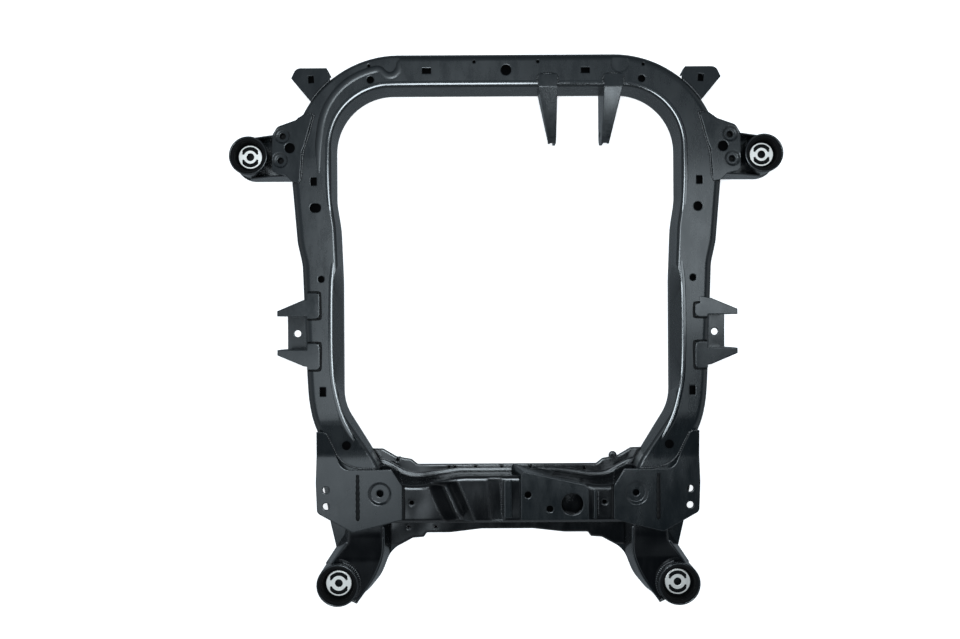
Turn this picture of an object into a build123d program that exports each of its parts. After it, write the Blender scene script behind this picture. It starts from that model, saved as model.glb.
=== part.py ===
from build123d import *
import os

# Front suspension subframe for a mid-size car, in millimetres.
# The origin is on the centreline, midway between the front beam's face and the rear bushes,
# on the plane that the frame rests on. +X is one side, +Y the front, +Z up.
# Paired pieces are modelled on the +X side and mirrored for the -X side.

os.makedirs("parts", exist_ok=True)

# Sheet and tube walls
tube_wall = 3.0
plate = 3.0
shell_sheet = 2.5
ear_sheet = 4.0
gusset_sheet = 4.0
seat_gap = 0.2

# Perimeter tube: one bent and formed tube, front beam and both side rails
front_face_y = 514.5
beam_width = 62.0
tube_height = 75.0
tube_outer_radius = 15.0
tube_inner_radius = 6.0
rail_outer_x = 400.0
rail_inner_x = 325.0
outer_bend_radius = 200.0
inner_bend_radius = 110.0
rail_end_y = -278.0
rail_end_drop = 13.0
drop_start_y = -163.0
drop_end_y = -232.0
drop_radius = 120.0

# Stations along a side rail where its outer wall bends, from the front
shoulder_run = 30.0
shoulder_end_y = 165.0
shoulder_outer_x = 390.0
waist_front_y = 125.0
waist_front_outer_x = 381.0
waist_rear_y = -90.0
waist_rear_outer_x = 373.0
tail_start_y = -188.0
tail_outer_x = 367.0
tail_end_outer_x = 272.0
shoulder_radius = 300.0
waist_radius = 90.0
waist_rear_radius = 700.0
tail_radius = 260.0

# Stations along a side rail where its inner wall bends, from the front
inner_taper_start_y = 245.0
inner_taper_end_y = 195.0
inner_taper_x = 317.0
inner_waist_y = 95.0
waist_inner_x = 313.0
inner_tail_y = -140.0
inner_drop_x = 248.0
inner_drop_y = -243.0
tail_end_inner_x = 218.0
inner_taper_radius = 120.0
inner_waist_radius = 200.0
inner_tail_radius = 300.0

# Drafted stretch of the inner wall at the waist
draft_front_y = 128.0
draft_rear_y = -118.0
draft_run = 45.0
draft_depth = 11.0
draft_height = 56.0

# Step pressed into the tube's top at the left front corner, and a round mark at the right
step_depth = 2.0
step_start_y = 322.0
step_full_y = 372.0
step_inner_x = -349.0
step_corner_x = -333.0
step_corner_y = 487.0
step_bend_radius = 125.0
step_end_x = -215.0
step_end_radius = 18.0
mark_x = 211.0
mark_y = 494.0
mark_radius = 16.5
mark_depth = 1.0

# Holes in the tube's top, on both sides of the centreline
beam_centre_hole_radius = 9.75
small_hole_radius = 3.0
beam_small_hole_x = 59.0
corner_small_hole_x = 254.0
corner_hole_x = 251.0
corner_hole_radius = 6.75
beam_slot_x = 147.0
beam_slot_length = 16.5
beam_slot_width = 10.4
front_window_y = 278.0
front_window_length = 15.0
shoulder_hole_y = 229.0
shoulder_hole_radius = 8.4
shoulder_slot_length = 21.0
waist_hole_x = 344.0
waist_hole_y = 97.0
waist_hole_radius = 6.2
rear_window_y = -111.5
rear_window_length = 17.0
window_width = 11.5
tail_hole_x = 300.0
tail_hole_y = -212.0
tail_hole_radius = 7.0

# Rear crossmember box: plan at its foot and at its top
cross_foot_front_y = -271.0
cross_foot_rear_y = -362.0
cross_foot_bow = 9.0
cross_foot_rise = 17.0
cross_top_front_y = -272.0
cross_top_rear_y = -358.0
cross_top_bow = 18.0
cross_top_rise = -1.0
cross_half_length = 262.0
cross_edge_radius = 7.0
tray_half_length = 205.0
flange_z = 9.0
flange_front_y = -257.0
flange_rear_y = -382.0
flange_hole_radius = 2.6
upper_flange_reach = 8.0

# Troughs pressed into the crossmember's top
valley_x = -109.0
valley_width = 54.0
valley_depth = 27.0
valley_slant = 24.0
valley_floor = 9.0
valley_start_y = -281.0
band_x = -22.0
band_width = 25.0
band_depth = 2.5
band_floor = 22.0
band_start_y = -277.0
pad_hole_x = 180.0
pad_hole_y = -320.0
pad_hole_radius = 4.0

# Steering gear seat on the crossmember
gear_seat_left_x = 24.0
gear_seat_right_x = 149.0
gear_seat_rear_y = -351.0
gear_seat_top_z = 75.0
gear_bore_x = 118.6
gear_bore_y = -321.3
gear_bore_radius = 20.5
gear_bolt_spots = [(36.6, -303.7), (77.0, -330.0)]
gear_bolt_radius = 6.6
gear_bolt_clearance = 2.0

# Corner plates
gusset_outer_x = 356.0
gusset_front_y = -186.0
gusset_rear_y = -375.0
gusset_inner_x = 197.0
wing_hole_x = 339.0
wing_hole_y = -295.5
wing_hole_pitch = 30.5
wing_hole_radius = 6.5
emboss_x = 239.0
emboss_y = -303.0
emboss_radius = 21.5
emboss_depth = 4.0
emboss_hole_radius = 6.5

# Body mount bushes
front_bush_x = 482.0
front_bush_y = 329.5
front_sleeve_radius = 36.0
rear_bush_x = 319.5
rear_bush_y = -475.0
rear_sleeve_radius = 39.5
sleeve_wall = 3.5
sleeve_top_z = 62.0
core_top_z = 46.0
front_core_radius = 22.0
rear_core_radius = 24.0
core_bore_radius = 7.0
core_hub_radius = 11.5
core_flange = 4.0
kidney_inset = 7.4
kidney_width = 4.7
kidney_arc = 124.0

# Front body mount carriers
carrier_outer_x = 432.0
carrier_front_y = 406.0
carrier_rear_y = 272.0
carrier_rim = 14.0
dimple_radius = 14.5
dimple_depth = 3.5
dimple_hole_radius = 6.0
dimple_pitch = 45.0
carrier_hole_radius = 9.5

# Control arm brackets
arm_gap = 62.0
arm_centre_y = -2.5
arm_bolt_x = 404.0
arm_bolt_z = 40.0
arm_bolt_radius = 6.25
arm_tip_x = 425.0
arm_tab_x = 347.0
arm_wall_x = 376.0
arm_base_hole_radius = 6.7
arm_base_rise = 23.0

# Torque mount brackets on the front beam
torque_gap_left_x = 95.0
torque_gap_right_x = 181.0
torque_root_width = 36.0
torque_tip_width = 15.0
torque_reach_y = 357.0
torque_bolt_y = 374.0
torque_bolt_z = 20.0
torque_bolt_radius = 5.5
torque_ear_radius = 20.0
torque_end_z = 47.0
torque_skirt_z = 33.0
torque_tab_reach = 22.0

# Worked out from the sizes above
beam_inner_y = front_face_y - beam_width
rail_end_z = tube_height - rail_end_drop
rail_centre_x = (rail_outer_x + rail_inner_x) / 2
bend_x = rail_outer_x - outer_bend_radius
bend_y = front_face_y - outer_bend_radius
corner_x = bend_x + outer_bend_radius * 0.5 ** 0.5
corner_y = bend_y + outer_bend_radius * 0.5 ** 0.5
cut_margin = 40.0


def write_node(piece, node):
    """Label one finished solid and write it as the node's STEP file."""
    piece.label = node
    export_step(piece, f"parts/{node}.step")


def write_pair(piece, stem):
    """Write a right-hand piece and its mirror image."""
    write_node(piece, f"{stem}_right")
    write_node(mirror(piece, about=Plane.YZ), f"{stem}_left")


def outline(*corners):
    """Closed flat outline through (x, y, corner radius) triples."""
    with BuildSketch() as flat:
        with BuildLine():
            FilletPolyline(
                [(x, y) for x, y, _ in corners],
                radius=[r for _, _, r in corners],
                close=True,
            )
        make_face()
    return flat.sketch


def waist_draft(inset):
    """Wedge that leans the rail's inner wall back at the waist, set back by inset."""
    wall_x = waist_inner_x + inset
    with BuildPart() as wedge:
        for level, lean in ((tube_height, draft_depth), (tube_height - draft_height, 0.0)):
            with BuildSketch(Plane.XY.offset(level - inset)):
                add(
                    outline(
                        (wall_x - draft_depth, draft_front_y, 0),
                        (wall_x - 0.1, draft_front_y, 0),
                        (wall_x - 0.1 + lean, draft_front_y - draft_run, 0),
                        (wall_x - 0.1 + lean, draft_rear_y + draft_run, 0),
                        (wall_x - 0.1, draft_rear_y, 0),
                        (wall_x - draft_depth, draft_rear_y, 0),
                    )
                )
        loft(ruled=True)
    return wedge.part


def long_edges(solid, window_side):
    """Edges between the upright walls and the top and bottom, without the end faces.

    With window_side they are those of the walls that face the frame's window.
    """
    level_edges = [
        edge
        for face in solid.faces()
        if abs(face.normal_at().Z) > 0.9
        for edge in face.edges()
    ]
    chosen = []
    for wall in solid.faces():
        normal = wall.normal_at()
        middle = wall.center()
        end_face = abs(abs(normal.Y) - 1) < 0.01 and middle.Y < rail_end_y
        if abs(normal.Z) > 0.5 or end_face or abs(middle.X) < 0.1:
            continue
        inward = normal.X * middle.X + normal.Y * (middle.Y - waist_front_y) < 0
        if inward == window_side:
            chosen += [edge for edge in wall.edges() if edge in level_edges]
    return ShapeList(dict.fromkeys(chosen))


def tube_half(inset):
    """Right half of the tube's envelope, shrunk inwards by inset on every side."""
    outer_y = front_face_y - inset
    inner_y = beam_inner_y + inset
    past_end_y = rail_end_y - cut_margin
    with BuildPart() as half:
        with BuildSketch():
            with BuildLine():
                outer = FilletPolyline(
                    (0, outer_y),
                    (rail_outer_x - inset, outer_y),
                    (rail_outer_x - inset, bend_y - shoulder_run),
                    (shoulder_outer_x - inset, shoulder_end_y),
                    (waist_front_outer_x - inset, waist_front_y),
                    (waist_rear_outer_x - inset, waist_rear_y),
                    (tail_outer_x - inset, tail_start_y),
                    (tail_end_outer_x - inset, past_end_y),
                    radius=[
                        outer_bend_radius - inset,
                        shoulder_radius,
                        waist_radius,
                        waist_radius,
                        waist_rear_radius,
                        tail_radius,
                    ],
                )
                inner = FilletPolyline(
                    (0, inner_y),
                    (rail_inner_x + inset, inner_y),
                    (rail_inner_x + inset, inner_taper_start_y),
                    (inner_taper_x + inset, inner_taper_end_y),
                    (waist_inner_x + inset, inner_waist_y),
                    (waist_inner_x + inset, inner_tail_y),
                    (inner_drop_x + inset, inner_drop_y),
                    (tail_end_inner_x + inset, past_end_y),
                    radius=[
                        inner_bend_radius + inset,
                        inner_taper_radius,
                        inner_waist_radius,
                        inner_tail_radius,
                        waist_radius,
                        waist_radius,
                    ],
                )
                Line(outer @ 1, inner @ 1)
                Line(outer @ 0, inner @ 0)
            make_face()
        extrude(amount=tube_height)
        with BuildSketch(Plane.YZ):
            with BuildLine():
                top = FilletPolyline(
                    (front_face_y + cut_margin, tube_height - inset),
                    (drop_start_y, tube_height - inset),
                    (drop_end_y, rail_end_z - inset),
                    (past_end_y - cut_margin, rail_end_z - inset),
                    radius=drop_radius,
                )
                under = FilletPolyline(
                    (front_face_y + cut_margin, inset),
                    (drop_start_y - 30, inset),
                    (drop_end_y, inset + plate),
                    (past_end_y - cut_margin, inset + plate),
                    radius=drop_radius,
                )
                Line(top @ 0, under @ 0)
                Line(top @ 1, under @ 1)
            make_face()
        extrude(amount=rail_outer_x + cut_margin, both=True, mode=Mode.INTERSECT)
        fillet(long_edges(half.part, False), radius=tube_outer_radius - inset)
        fillet(long_edges(half.part, True), radius=tube_inner_radius - inset)
        add(waist_draft(inset), mode=Mode.SUBTRACT)
        if inset == 0:
            split(bisect_by=Plane.XZ.offset(-rail_end_y), keep=Keep.BOTTOM)
    return half.part


def slab(face, low, high):
    """Upright prism of a flat outline between two heights."""
    with BuildPart() as prism:
        with BuildSketch(Plane.XY.offset(low)):
            add(face)
        extrude(amount=high - low)
    return prism.part


def side_prism(face):
    """Prism of a (y, z) outline across the whole width."""
    with BuildPart() as prism:
        with BuildSketch(Plane.YZ):
            add(face)
        extrude(amount=rail_outer_x + 4 * cut_margin, both=True)
    return prism.part


def revolved(face, x, y, z):
    """Turn an (radius, z) outline about an upright axis standing at x, y, z."""
    with BuildPart() as turned:
        with BuildSketch(Plane.XZ):
            add(face)
        revolve(axis=Axis.Z)
    return Pos(x, y, z) * turned.part


def dish(outer_radius, hole_radius, depth, sheet, x, y, z):
    """A pressed round recess with a flat floor and a hole; its rim's top face is at z."""
    profile = outline(
        (outer_radius, 0, 0),
        (outer_radius - depth, -depth, 0),
        (hole_radius, -depth, 0),
        (hole_radius, -depth - sheet, 0),
        (outer_radius - depth, -depth - sheet, 0),
        (outer_radius, -sheet, 0),
    )
    return revolved(profile, x, y, z)


# Perimeter tube
with BuildPart() as tube_envelope:
    add(tube_half(0))
    mirror(about=Plane.YZ)

with BuildPart() as tube_void:
    add(tube_half(tube_wall))
    mirror(about=Plane.YZ)

beam_hole_y = front_face_y - beam_width / 2 - 1.0
corner_hole_y = beam_hole_y - 17.0
beam_small_hole_y = front_face_y - 16.5
corner_small_hole_y = beam_small_hole_y - 6.0
window_x = rail_outer_x - 43.0
shoulder_hole_x = window_x - 3.0
rear_window_x = waist_hole_x - 2.0
hole_level = tube_height - 2 * tube_outer_radius

step_plan = outline(
    (step_inner_x, step_start_y, 0),
    (step_corner_x, step_corner_y, step_bend_radius),
    (step_end_x, step_corner_y, 0),
    (step_end_x + step_end_radius, step_corner_y + 3, 0),
    (step_end_x + step_end_radius, front_face_y, 0),
    (-rail_outer_x - cut_margin, front_face_y, 0),
    (-rail_outer_x - cut_margin, step_start_y, 0),
)


def step_slope(raise_by):
    """Side outline (y, z) of the step's floor, raised by raise_by and open above."""
    ground = tube_height + raise_by
    return outline(
        (step_start_y, ground, 0),
        (step_full_y, ground - step_depth, 0),
        (front_face_y + 1, ground - step_depth, 0),
        (front_face_y + 1, ground + tube_height, 0),
        (step_start_y, ground + tube_height, 0),
    )


with BuildPart() as step_prism:
    add(slab(step_plan, tube_height / 2, 2 * tube_height))
    with BuildSketch(Plane.XY.offset(tube_height / 2)):
        with Locations((step_end_x, step_corner_y + 3)):
            Circle(step_end_radius)
    extrude(amount=1.5 * tube_height)

with BuildPart() as step_cut:
    add(step_prism.part)
    add(side_prism(step_slope(0)), mode=Mode.INTERSECT)

with BuildPart() as step_floor:
    add(step_prism.part)
    add(side_prism(step_slope(-tube_wall)), mode=Mode.INTERSECT)
    add(step_cut.part, mode=Mode.SUBTRACT)
    add(tube_envelope.part, mode=Mode.INTERSECT)

with BuildPart() as perimeter_tube:
    add(tube_envelope.part)
    add(tube_void.part, mode=Mode.SUBTRACT)
    add(step_floor.part)
    add(step_cut.part, mode=Mode.SUBTRACT)
    with BuildSketch(Plane.XY.offset(tube_height - mark_depth)):
        with Locations((mark_x, mark_y)):
            Circle(mark_radius)
    extrude(amount=mark_depth, mode=Mode.SUBTRACT)
    with BuildSketch(Plane.XY.offset(hole_level)):
        with Locations((0, beam_hole_y)):
            Circle(beam_centre_hole_radius)
        with Locations((shoulder_hole_x, shoulder_hole_y)):
            Circle(shoulder_hole_radius)
        with Locations((-shoulder_hole_x, shoulder_hole_y)):
            SlotOverall(shoulder_slot_length, 2 * shoulder_hole_radius)
        for side in (1, -1):
            with Locations(
                (side * beam_small_hole_x, beam_small_hole_y),
                (side * corner_small_hole_x, corner_small_hole_y),
            ):
                Circle(small_hole_radius)
            with Locations((side * corner_hole_x, corner_hole_y)):
                Circle(corner_hole_radius)
            with Locations((side * beam_slot_x, beam_hole_y - 1)):
                Rectangle(beam_slot_length, beam_slot_width)
            with Locations((side * window_x, front_window_y)):
                Rectangle(window_width, front_window_length)
            with Locations((side * waist_hole_x, waist_hole_y)):
                Circle(waist_hole_radius)
            with Locations((side * rear_window_x, rear_window_y)):
                Rectangle(window_width, rear_window_length)
            with Locations((side * tail_hole_x, tail_hole_y)):
                Circle(tail_hole_radius)
    extrude(amount=tube_height, mode=Mode.SUBTRACT)

write_node(perimeter_tube.part, "perimeter_tube")

# Front corner brackets: ears on the tube's outer bend, with two turned-down lips and a nut
corner_plate_z = tube_height - 9.0
corner_lip = 16.0
corner_hole_spot = (corner_x + 20.6, corner_y + 12.6)
corner_hole_width = 11.0
corner_hole_length = 13.5
corner_hole_turn = -5.0
corner_nut_depth = 9.0
corner_outline = outline(
    (corner_x - 14.4, corner_y - 11.4, 0),
    (corner_x - 14.4, corner_y + 21.6, 1),
    (corner_x - 8.4, corner_y + 33.6, 1),
    (corner_x + 48.6, corner_y + 33.6, 13),
    (corner_x + 57.6, corner_y + 14.6, 1),
    (corner_x + 21.6, corner_y - 28.4, 1),
    (corner_x - 1.4, corner_y - 31.4, 0),
)
corner_inner_lip = outline(
    (corner_x - 14.4, corner_y + 21.6, 0),
    (corner_x - 8.4, corner_y + 33.6, 0),
    (corner_x - 5.4, corner_y + 33.6, 0),
    (corner_x - 11.4, corner_y + 20.6, 0),
)
corner_outer_lip = outline(
    (corner_x + 54.6, corner_y + 13.1, 0),
    (corner_x + 38.6, corner_y - 6.4, 0),
    (corner_x + 36.6, corner_y - 4.4, 0),
    (corner_x + 52.6, corner_y + 15.1, 0),
)

with BuildPart() as front_corner_bracket:
    add(slab(corner_outline, corner_plate_z, corner_plate_z + plate))
    add(slab(corner_inner_lip, corner_plate_z - corner_lip, corner_plate_z))
    add(slab(corner_outer_lip, corner_plate_z - corner_lip, corner_plate_z))
    with BuildSketch(Plane.XY.offset(corner_plate_z - corner_nut_depth)):
        with Locations(corner_hole_spot):
            Rectangle(
                corner_hole_width + 2 * plate,
                corner_hole_length + 2 * plate,
                rotation=corner_hole_turn,
            )
    extrude(amount=corner_nut_depth)
    with BuildSketch(Plane.XY.offset(corner_plate_z - corner_nut_depth + plate)):
        with Locations(corner_hole_spot):
            Rectangle(corner_hole_width, corner_hole_length, rotation=corner_hole_turn)
    extrude(amount=corner_nut_depth, mode=Mode.SUBTRACT)
    add(tube_envelope.part, mode=Mode.SUBTRACT)

write_pair(front_corner_bracket.part, "front_corner_bracket")

# Front body mount carriers: upper plate with a turned-down rim and two dimpled bolt holes
dimple_x = carrier_outer_x - 16.0
dimple_y = front_bush_y + 10.0
dimple_spots = [
    (dimple_x - 2, dimple_y + dimple_pitch / 2),
    (dimple_x + 2, dimple_y - dimple_pitch / 2),
]
carrier_outline = outline(
    (rail_outer_x - 43, carrier_front_y - 4, 4),
    (rail_outer_x - 26, carrier_front_y - 4, 4),
    (rail_outer_x - 11, carrier_front_y - 15, 12),
    (carrier_outer_x - 9, carrier_front_y - 27, 13),
    (carrier_outer_x, carrier_front_y - 42, 8),
    (carrier_outer_x + 1, carrier_rear_y + 23, 8),
    (rail_outer_x + 9, carrier_rear_y + 18, 5),
    (rail_outer_x - 4, carrier_rear_y + 5, 4),
    (rail_outer_x - 18, carrier_rear_y + 3, 3),
    (rail_outer_x - 21, front_bush_y - 14, 2),
    (rail_outer_x - 22, front_bush_y + 4, 2),
    (rail_outer_x - 27, front_bush_y + 16, 3),
)
carrier_hollow = offset(carrier_outline, amount=-plate)

with BuildPart() as front_mount_upper:
    add(slab(carrier_outline, tube_height - carrier_rim, tube_height + plate))
    add(slab(carrier_hollow, tube_height - carrier_rim, tube_height), mode=Mode.SUBTRACT)
    add(tube_envelope.part, mode=Mode.SUBTRACT)
    with BuildSketch(Plane.XY.offset(tube_height)):
        with Locations((dimple_x - 16, dimple_y)):
            Circle(carrier_hole_radius)
        with Locations(*dimple_spots):
            Circle(dimple_radius)
    extrude(amount=plate, mode=Mode.SUBTRACT)
    for spot_x, spot_y in dimple_spots:
        add(
            dish(
                dimple_radius,
                dimple_hole_radius,
                dimple_depth,
                plate,
                spot_x,
                spot_y,
                tube_height + plate,
            )
        )

write_pair(front_mount_upper.part, "front_mount_upper")

# Front body mount carriers: lower pressing, a floor and two side walls down to the sleeve
carrier_half_width = front_sleeve_radius + seat_gap + plate


def cradle_plan(inset):
    """Plan of the lower pressing, round at the sleeve, shrunk inwards by inset."""
    with BuildSketch() as plan:
        with Locations((front_bush_x, front_bush_y)):
            Circle(carrier_half_width - inset)
        with Locations(((rail_centre_x + front_bush_x) / 2, front_bush_y)):
            Rectangle(front_bush_x - rail_centre_x, 2 * (carrier_half_width - inset))
    return plan.sketch


cradle_side = outline(
    (rail_inner_x, 0, 0),
    (rail_inner_x, tube_height - carrier_rim, 0),
    (carrier_outer_x - 18, tube_height - carrier_rim, 0),
    (carrier_outer_x + 10, sleeve_top_z - 8, 20),
    (front_bush_x + 2, sleeve_top_z - 30, 20),
    (front_bush_x + 12, plate, 0),
    (front_bush_x + 2 * front_sleeve_radius, plate, 0),
    (front_bush_x + 2 * front_sleeve_radius, 0, 0),
)

with BuildPart() as front_mount_lower:
    add(slab(cradle_plan(0), 0, tube_height))
    add(slab(cradle_plan(plate), plate, tube_height + 1), mode=Mode.SUBTRACT)
    with BuildSketch(Plane.XZ.offset(-front_bush_y)):
        add(cradle_side)
    extrude(amount=2 * carrier_half_width, both=True, mode=Mode.INTERSECT)
    with BuildSketch():
        with Locations((front_bush_x, front_bush_y)):
            Circle(front_core_radius + 3)
    extrude(amount=plate, mode=Mode.SUBTRACT)
    add(tube_envelope.part, mode=Mode.SUBTRACT)

write_pair(front_mount_lower.part, "front_mount_lower")


def bush_sleeve(x, y, radius):
    """Steel outer sleeve of a body mount bush, with rounded rims."""
    profile = outline(
        (radius - sleeve_wall, plate, 0.6),
        (radius, plate, 0.6),
        (radius, sleeve_top_z, 1.5),
        (radius - sleeve_wall, sleeve_top_z, 1.5),
    )
    return revolved(profile, x, y, 0)


def bush_rubber(x, y, radius, core_radius):
    """Moulded rubber of a body mount bush: collar at the sleeve, dished down to the core."""
    outer = radius - sleeve_wall
    low = core_top_z - core_flange
    profile = outline(
        (core_hub_radius, plate + 6, 1),
        (outer - 8, plate + 6, 3),
        (outer - 5, plate + 1, 1),
        (outer, plate + 1, 0.5),
        (outer, sleeve_top_z - 1, 1),
        (outer - 5, sleeve_top_z - 1, 2),
        (core_radius + 3, low - 2, 3),
        (core_radius - 2, low, 1),
        (core_hub_radius, low, 0),
    )
    return revolved(profile, x, y, 0)


def bush_core(x, y, core_radius, notch_turn):
    """Aluminium inner sleeve with a disc: two kidney slots lie round the bolt bore.

    A notch_turn of 0 leaves the slots plain; another angle puts a small stop there.
    """
    slot_radius = core_radius - kidney_inset
    profile = outline(
        (core_bore_radius, plate, 0.5),
        (core_hub_radius, plate, 0.5),
        (core_hub_radius, core_top_z - core_flange, 0),
        (core_radius, core_top_z - core_flange, 0.6),
        (core_radius, core_top_z, 0.8),
        (core_bore_radius, core_top_z, 0.8),
    )
    with BuildPart() as core:
        add(revolved(profile, 0, 0, 0))
        with BuildSketch(Plane.XY.offset(core_top_z - core_flange)):
            for middle in (90, 270):
                with BuildLine():
                    slot_line = CenterArc(
                        (0, 0), slot_radius, middle - kidney_arc / 2, kidney_arc
                    )
                SlotArc(slot_line, height=kidney_width)
            if notch_turn:
                with PolarLocations(slot_radius + kidney_width / 2, 1, start_angle=notch_turn):
                    Circle(kidney_width / 2, mode=Mode.SUBTRACT)
        extrude(amount=core_flange, mode=Mode.SUBTRACT)
    return Pos(x, y, 0) * core.part


write_pair(bush_sleeve(front_bush_x, front_bush_y, front_sleeve_radius), "bush_sleeve_front")
write_pair(bush_sleeve(rear_bush_x, rear_bush_y, rear_sleeve_radius), "bush_sleeve_rear")
write_pair(
    bush_rubber(front_bush_x, front_bush_y, front_sleeve_radius, front_core_radius),
    "bush_rubber_front",
)
write_pair(
    bush_rubber(rear_bush_x, rear_bush_y, rear_sleeve_radius, rear_core_radius),
    "bush_rubber_rear",
)
write_pair(bush_core(front_bush_x, front_bush_y, front_core_radius, 0), "bush_core_front")
write_pair(bush_core(rear_bush_x, rear_bush_y, rear_core_radius, 80), "bush_core_rear")

# Torque mount brackets: two tapered channels off the front beam
torque_root_y = beam_inner_y + torque_tab_reach
torque_top_z = tube_height + plate


def torque_side(inset):
    """Side outline (y, z) of a torque bracket; the hollow's is lowered by inset."""
    low = torque_bolt_z - torque_ear_radius - inset
    tip_y = torque_bolt_y - torque_ear_radius - inset
    return outline(
        (torque_root_y + inset, low, 0),
        (torque_root_y + inset, torque_top_z - inset, 0),
        (beam_inner_y - 2, torque_top_z - inset, 0),
        (torque_reach_y + 6, torque_end_z - inset, 0),
        (tip_y, torque_end_z - 6 - inset, 0),
        (tip_y, low, torque_ear_radius - 1),
    )


def torque_plan(ear_x, away, inset):
    """Plan of a torque bracket from its ear at ear_x to the far wall."""
    near_x = ear_x + away * inset
    return outline(
        (near_x, torque_reach_y - cut_margin, 0),
        (ear_x + away * (torque_tip_width - inset), torque_reach_y - cut_margin, 0),
        (ear_x + away * (torque_tip_width - inset), torque_reach_y, 0),
        (ear_x + away * (torque_root_width - inset), beam_inner_y + 4, 0),
        (ear_x + away * (torque_root_width - inset), torque_root_y + inset, 0),
        (near_x, torque_root_y + inset, 0),
    )


def torque_bracket(ear_x, away):
    """Tapered channel off the front beam; its upright ear at ear_x takes the mount's bolt.

    away is +1 when the channel's far wall lies on the +X side of the ear, else -1.
    """
    with BuildPart() as hollow:
        add(slab(torque_plan(ear_x, away, ear_sheet), -1, torque_top_z))
        add(side_prism(torque_side(plate)), mode=Mode.INTERSECT)
    with BuildPart() as bracket:
        add(slab(torque_plan(ear_x, away, 0), 0, torque_top_z))
        add(side_prism(torque_side(0)), mode=Mode.INTERSECT)
        add(hollow.part, mode=Mode.SUBTRACT)
        with BuildSketch():
            with Locations((ear_x + away * (ear_sheet + torque_root_width / 2), torque_bolt_y)):
                Rectangle(torque_root_width, 8 * cut_margin)
        extrude(amount=torque_skirt_z, mode=Mode.SUBTRACT)
        with BuildSketch(Plane.YZ.offset(ear_x - away)):
            with Locations((torque_bolt_y, torque_bolt_z)):
                Circle(torque_bolt_radius)
        extrude(amount=away * (ear_sheet + 2), mode=Mode.SUBTRACT)
        add(tube_envelope.part, mode=Mode.SUBTRACT)
    return bracket.part


write_node(torque_bracket(torque_gap_left_x, -1), "torque_bracket_inner")
write_node(torque_bracket(torque_gap_right_x, 1), "torque_bracket_outer")

# Control arm brackets on the side rails: two ears and a base
def arm_ear(wall_y, lean, tab_near_y, tab_far_y):
    """One ear on the +X rail: upright wall with bolt hole, wedge and tab on the rail's top.

    wall_y is the wall's inner face and lean is +1 for the front ear, -1 for the rear ear.
    """
    wall_side = outline(
        (arm_wall_x - 30, plate, 0),
        (arm_tip_x - 8, plate, 14),
        (arm_tip_x, tube_height - 30, 14),
        (arm_tip_x, tube_height, 0),
        (arm_wall_x - 30, tube_height, 0),
    )
    wedge = outline(
        (arm_wall_x - 20, wall_y, 0),
        (arm_tip_x, wall_y, 0),
        (arm_tip_x, wall_y + lean * 10, 0),
        (arm_wall_x + 1, wall_y + lean * 30, 0),
        (arm_wall_x - 20, wall_y + lean * 34, 0),
    )
    tab = outline(
        (arm_wall_x - 6, tab_near_y, 1),
        (arm_wall_x - 6, tab_far_y, 2),
        (arm_tab_x, tab_far_y, 7),
        (arm_tab_x, tab_near_y, 9),
    )
    with BuildPart() as ear:
        with BuildSketch(Plane.XZ.offset(-wall_y)):
            add(wall_side)
            with Locations((arm_bolt_x, arm_bolt_z)):
                Circle(arm_bolt_radius, mode=Mode.SUBTRACT)
        extrude(amount=-lean * ear_sheet)
        add(slab(wedge, tube_height, tube_height + plate))
        add(slab(tab, tube_height, tube_height + plate))
        add(tube_envelope.part, mode=Mode.SUBTRACT)
    return ear.part


front_wall_y = arm_centre_y + arm_gap / 2
rear_wall_y = arm_centre_y - arm_gap / 2
front_ear_right = arm_ear(front_wall_y, 1, front_wall_y - 4.5, front_wall_y + 21)
front_ear_left = arm_ear(front_wall_y, 1, front_wall_y - 4.5, front_wall_y + 43)
write_node(front_ear_right, "arm_ear_front_right")
write_node(mirror(front_ear_left, about=Plane.YZ), "arm_ear_front_left")
write_pair(arm_ear(rear_wall_y, -1, rear_wall_y + 12, rear_wall_y - 37), "arm_ear_rear")

with BuildPart() as arm_base:
    with BuildSketch():
        with Locations(((rail_centre_x + arm_tip_x - 2) / 2, arm_centre_y)):
            Rectangle(arm_tip_x - 2 - rail_centre_x, arm_gap + 2 * ear_sheet)
        with Locations((arm_bolt_x, arm_centre_y - 2)):
            Circle(arm_base_hole_radius, mode=Mode.SUBTRACT)
    extrude(amount=plate)
    with BuildSketch(Plane.XY.offset(plate)):
        with Locations((arm_wall_x, arm_centre_y)):
            Rectangle(4 * plate, arm_gap - 2)
    extrude(amount=arm_base_rise)
    add(tube_envelope.part, mode=Mode.SUBTRACT)

write_pair(arm_base.part, "arm_bracket_base")

# Rear crossmember: foot and top plans, the block between them and the troughs in its top
foot_z = flange_z + shell_sheet


def cross_plan(front, bow, rise, rear, inset):
    """Plan of the crossmember's upright walls, bowed towards each end of its front."""
    side = cross_half_length - inset
    bowed = front - bow - inset
    right = [
        (95, front - inset, 150),
        (160, bowed, 60),
        (190, bowed, 60),
        (238, front + rise - inset, 20),
        (side, front + rise - inset, 0),
        (side, rear + inset, 0),
    ]
    left = [(-x, y, r) for x, y, r in reversed(right)]
    return outline(*right, *left)


def cross_foot(inset):
    """The crossmember's plan at its foot."""
    return cross_plan(
        cross_foot_front_y, cross_foot_bow, cross_foot_rise, cross_foot_rear_y, inset
    )


def cross_block(inset, low):
    """The crossmember's body from low up to its top, shrunk inwards by inset."""
    top_plan = cross_plan(
        cross_top_front_y, cross_top_bow, cross_top_rise, cross_top_rear_y, inset
    )
    with BuildPart() as block:
        with BuildSketch(Plane.XY.offset(low)):
            add(cross_foot(inset))
        with BuildSketch(Plane.XY.offset(rail_end_z - inset)):
            add(top_plan)
        loft(ruled=True)
        fillet(block.edges().group_by(Axis.Z)[-1], radius=cross_edge_radius - inset)
    return block.part


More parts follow.
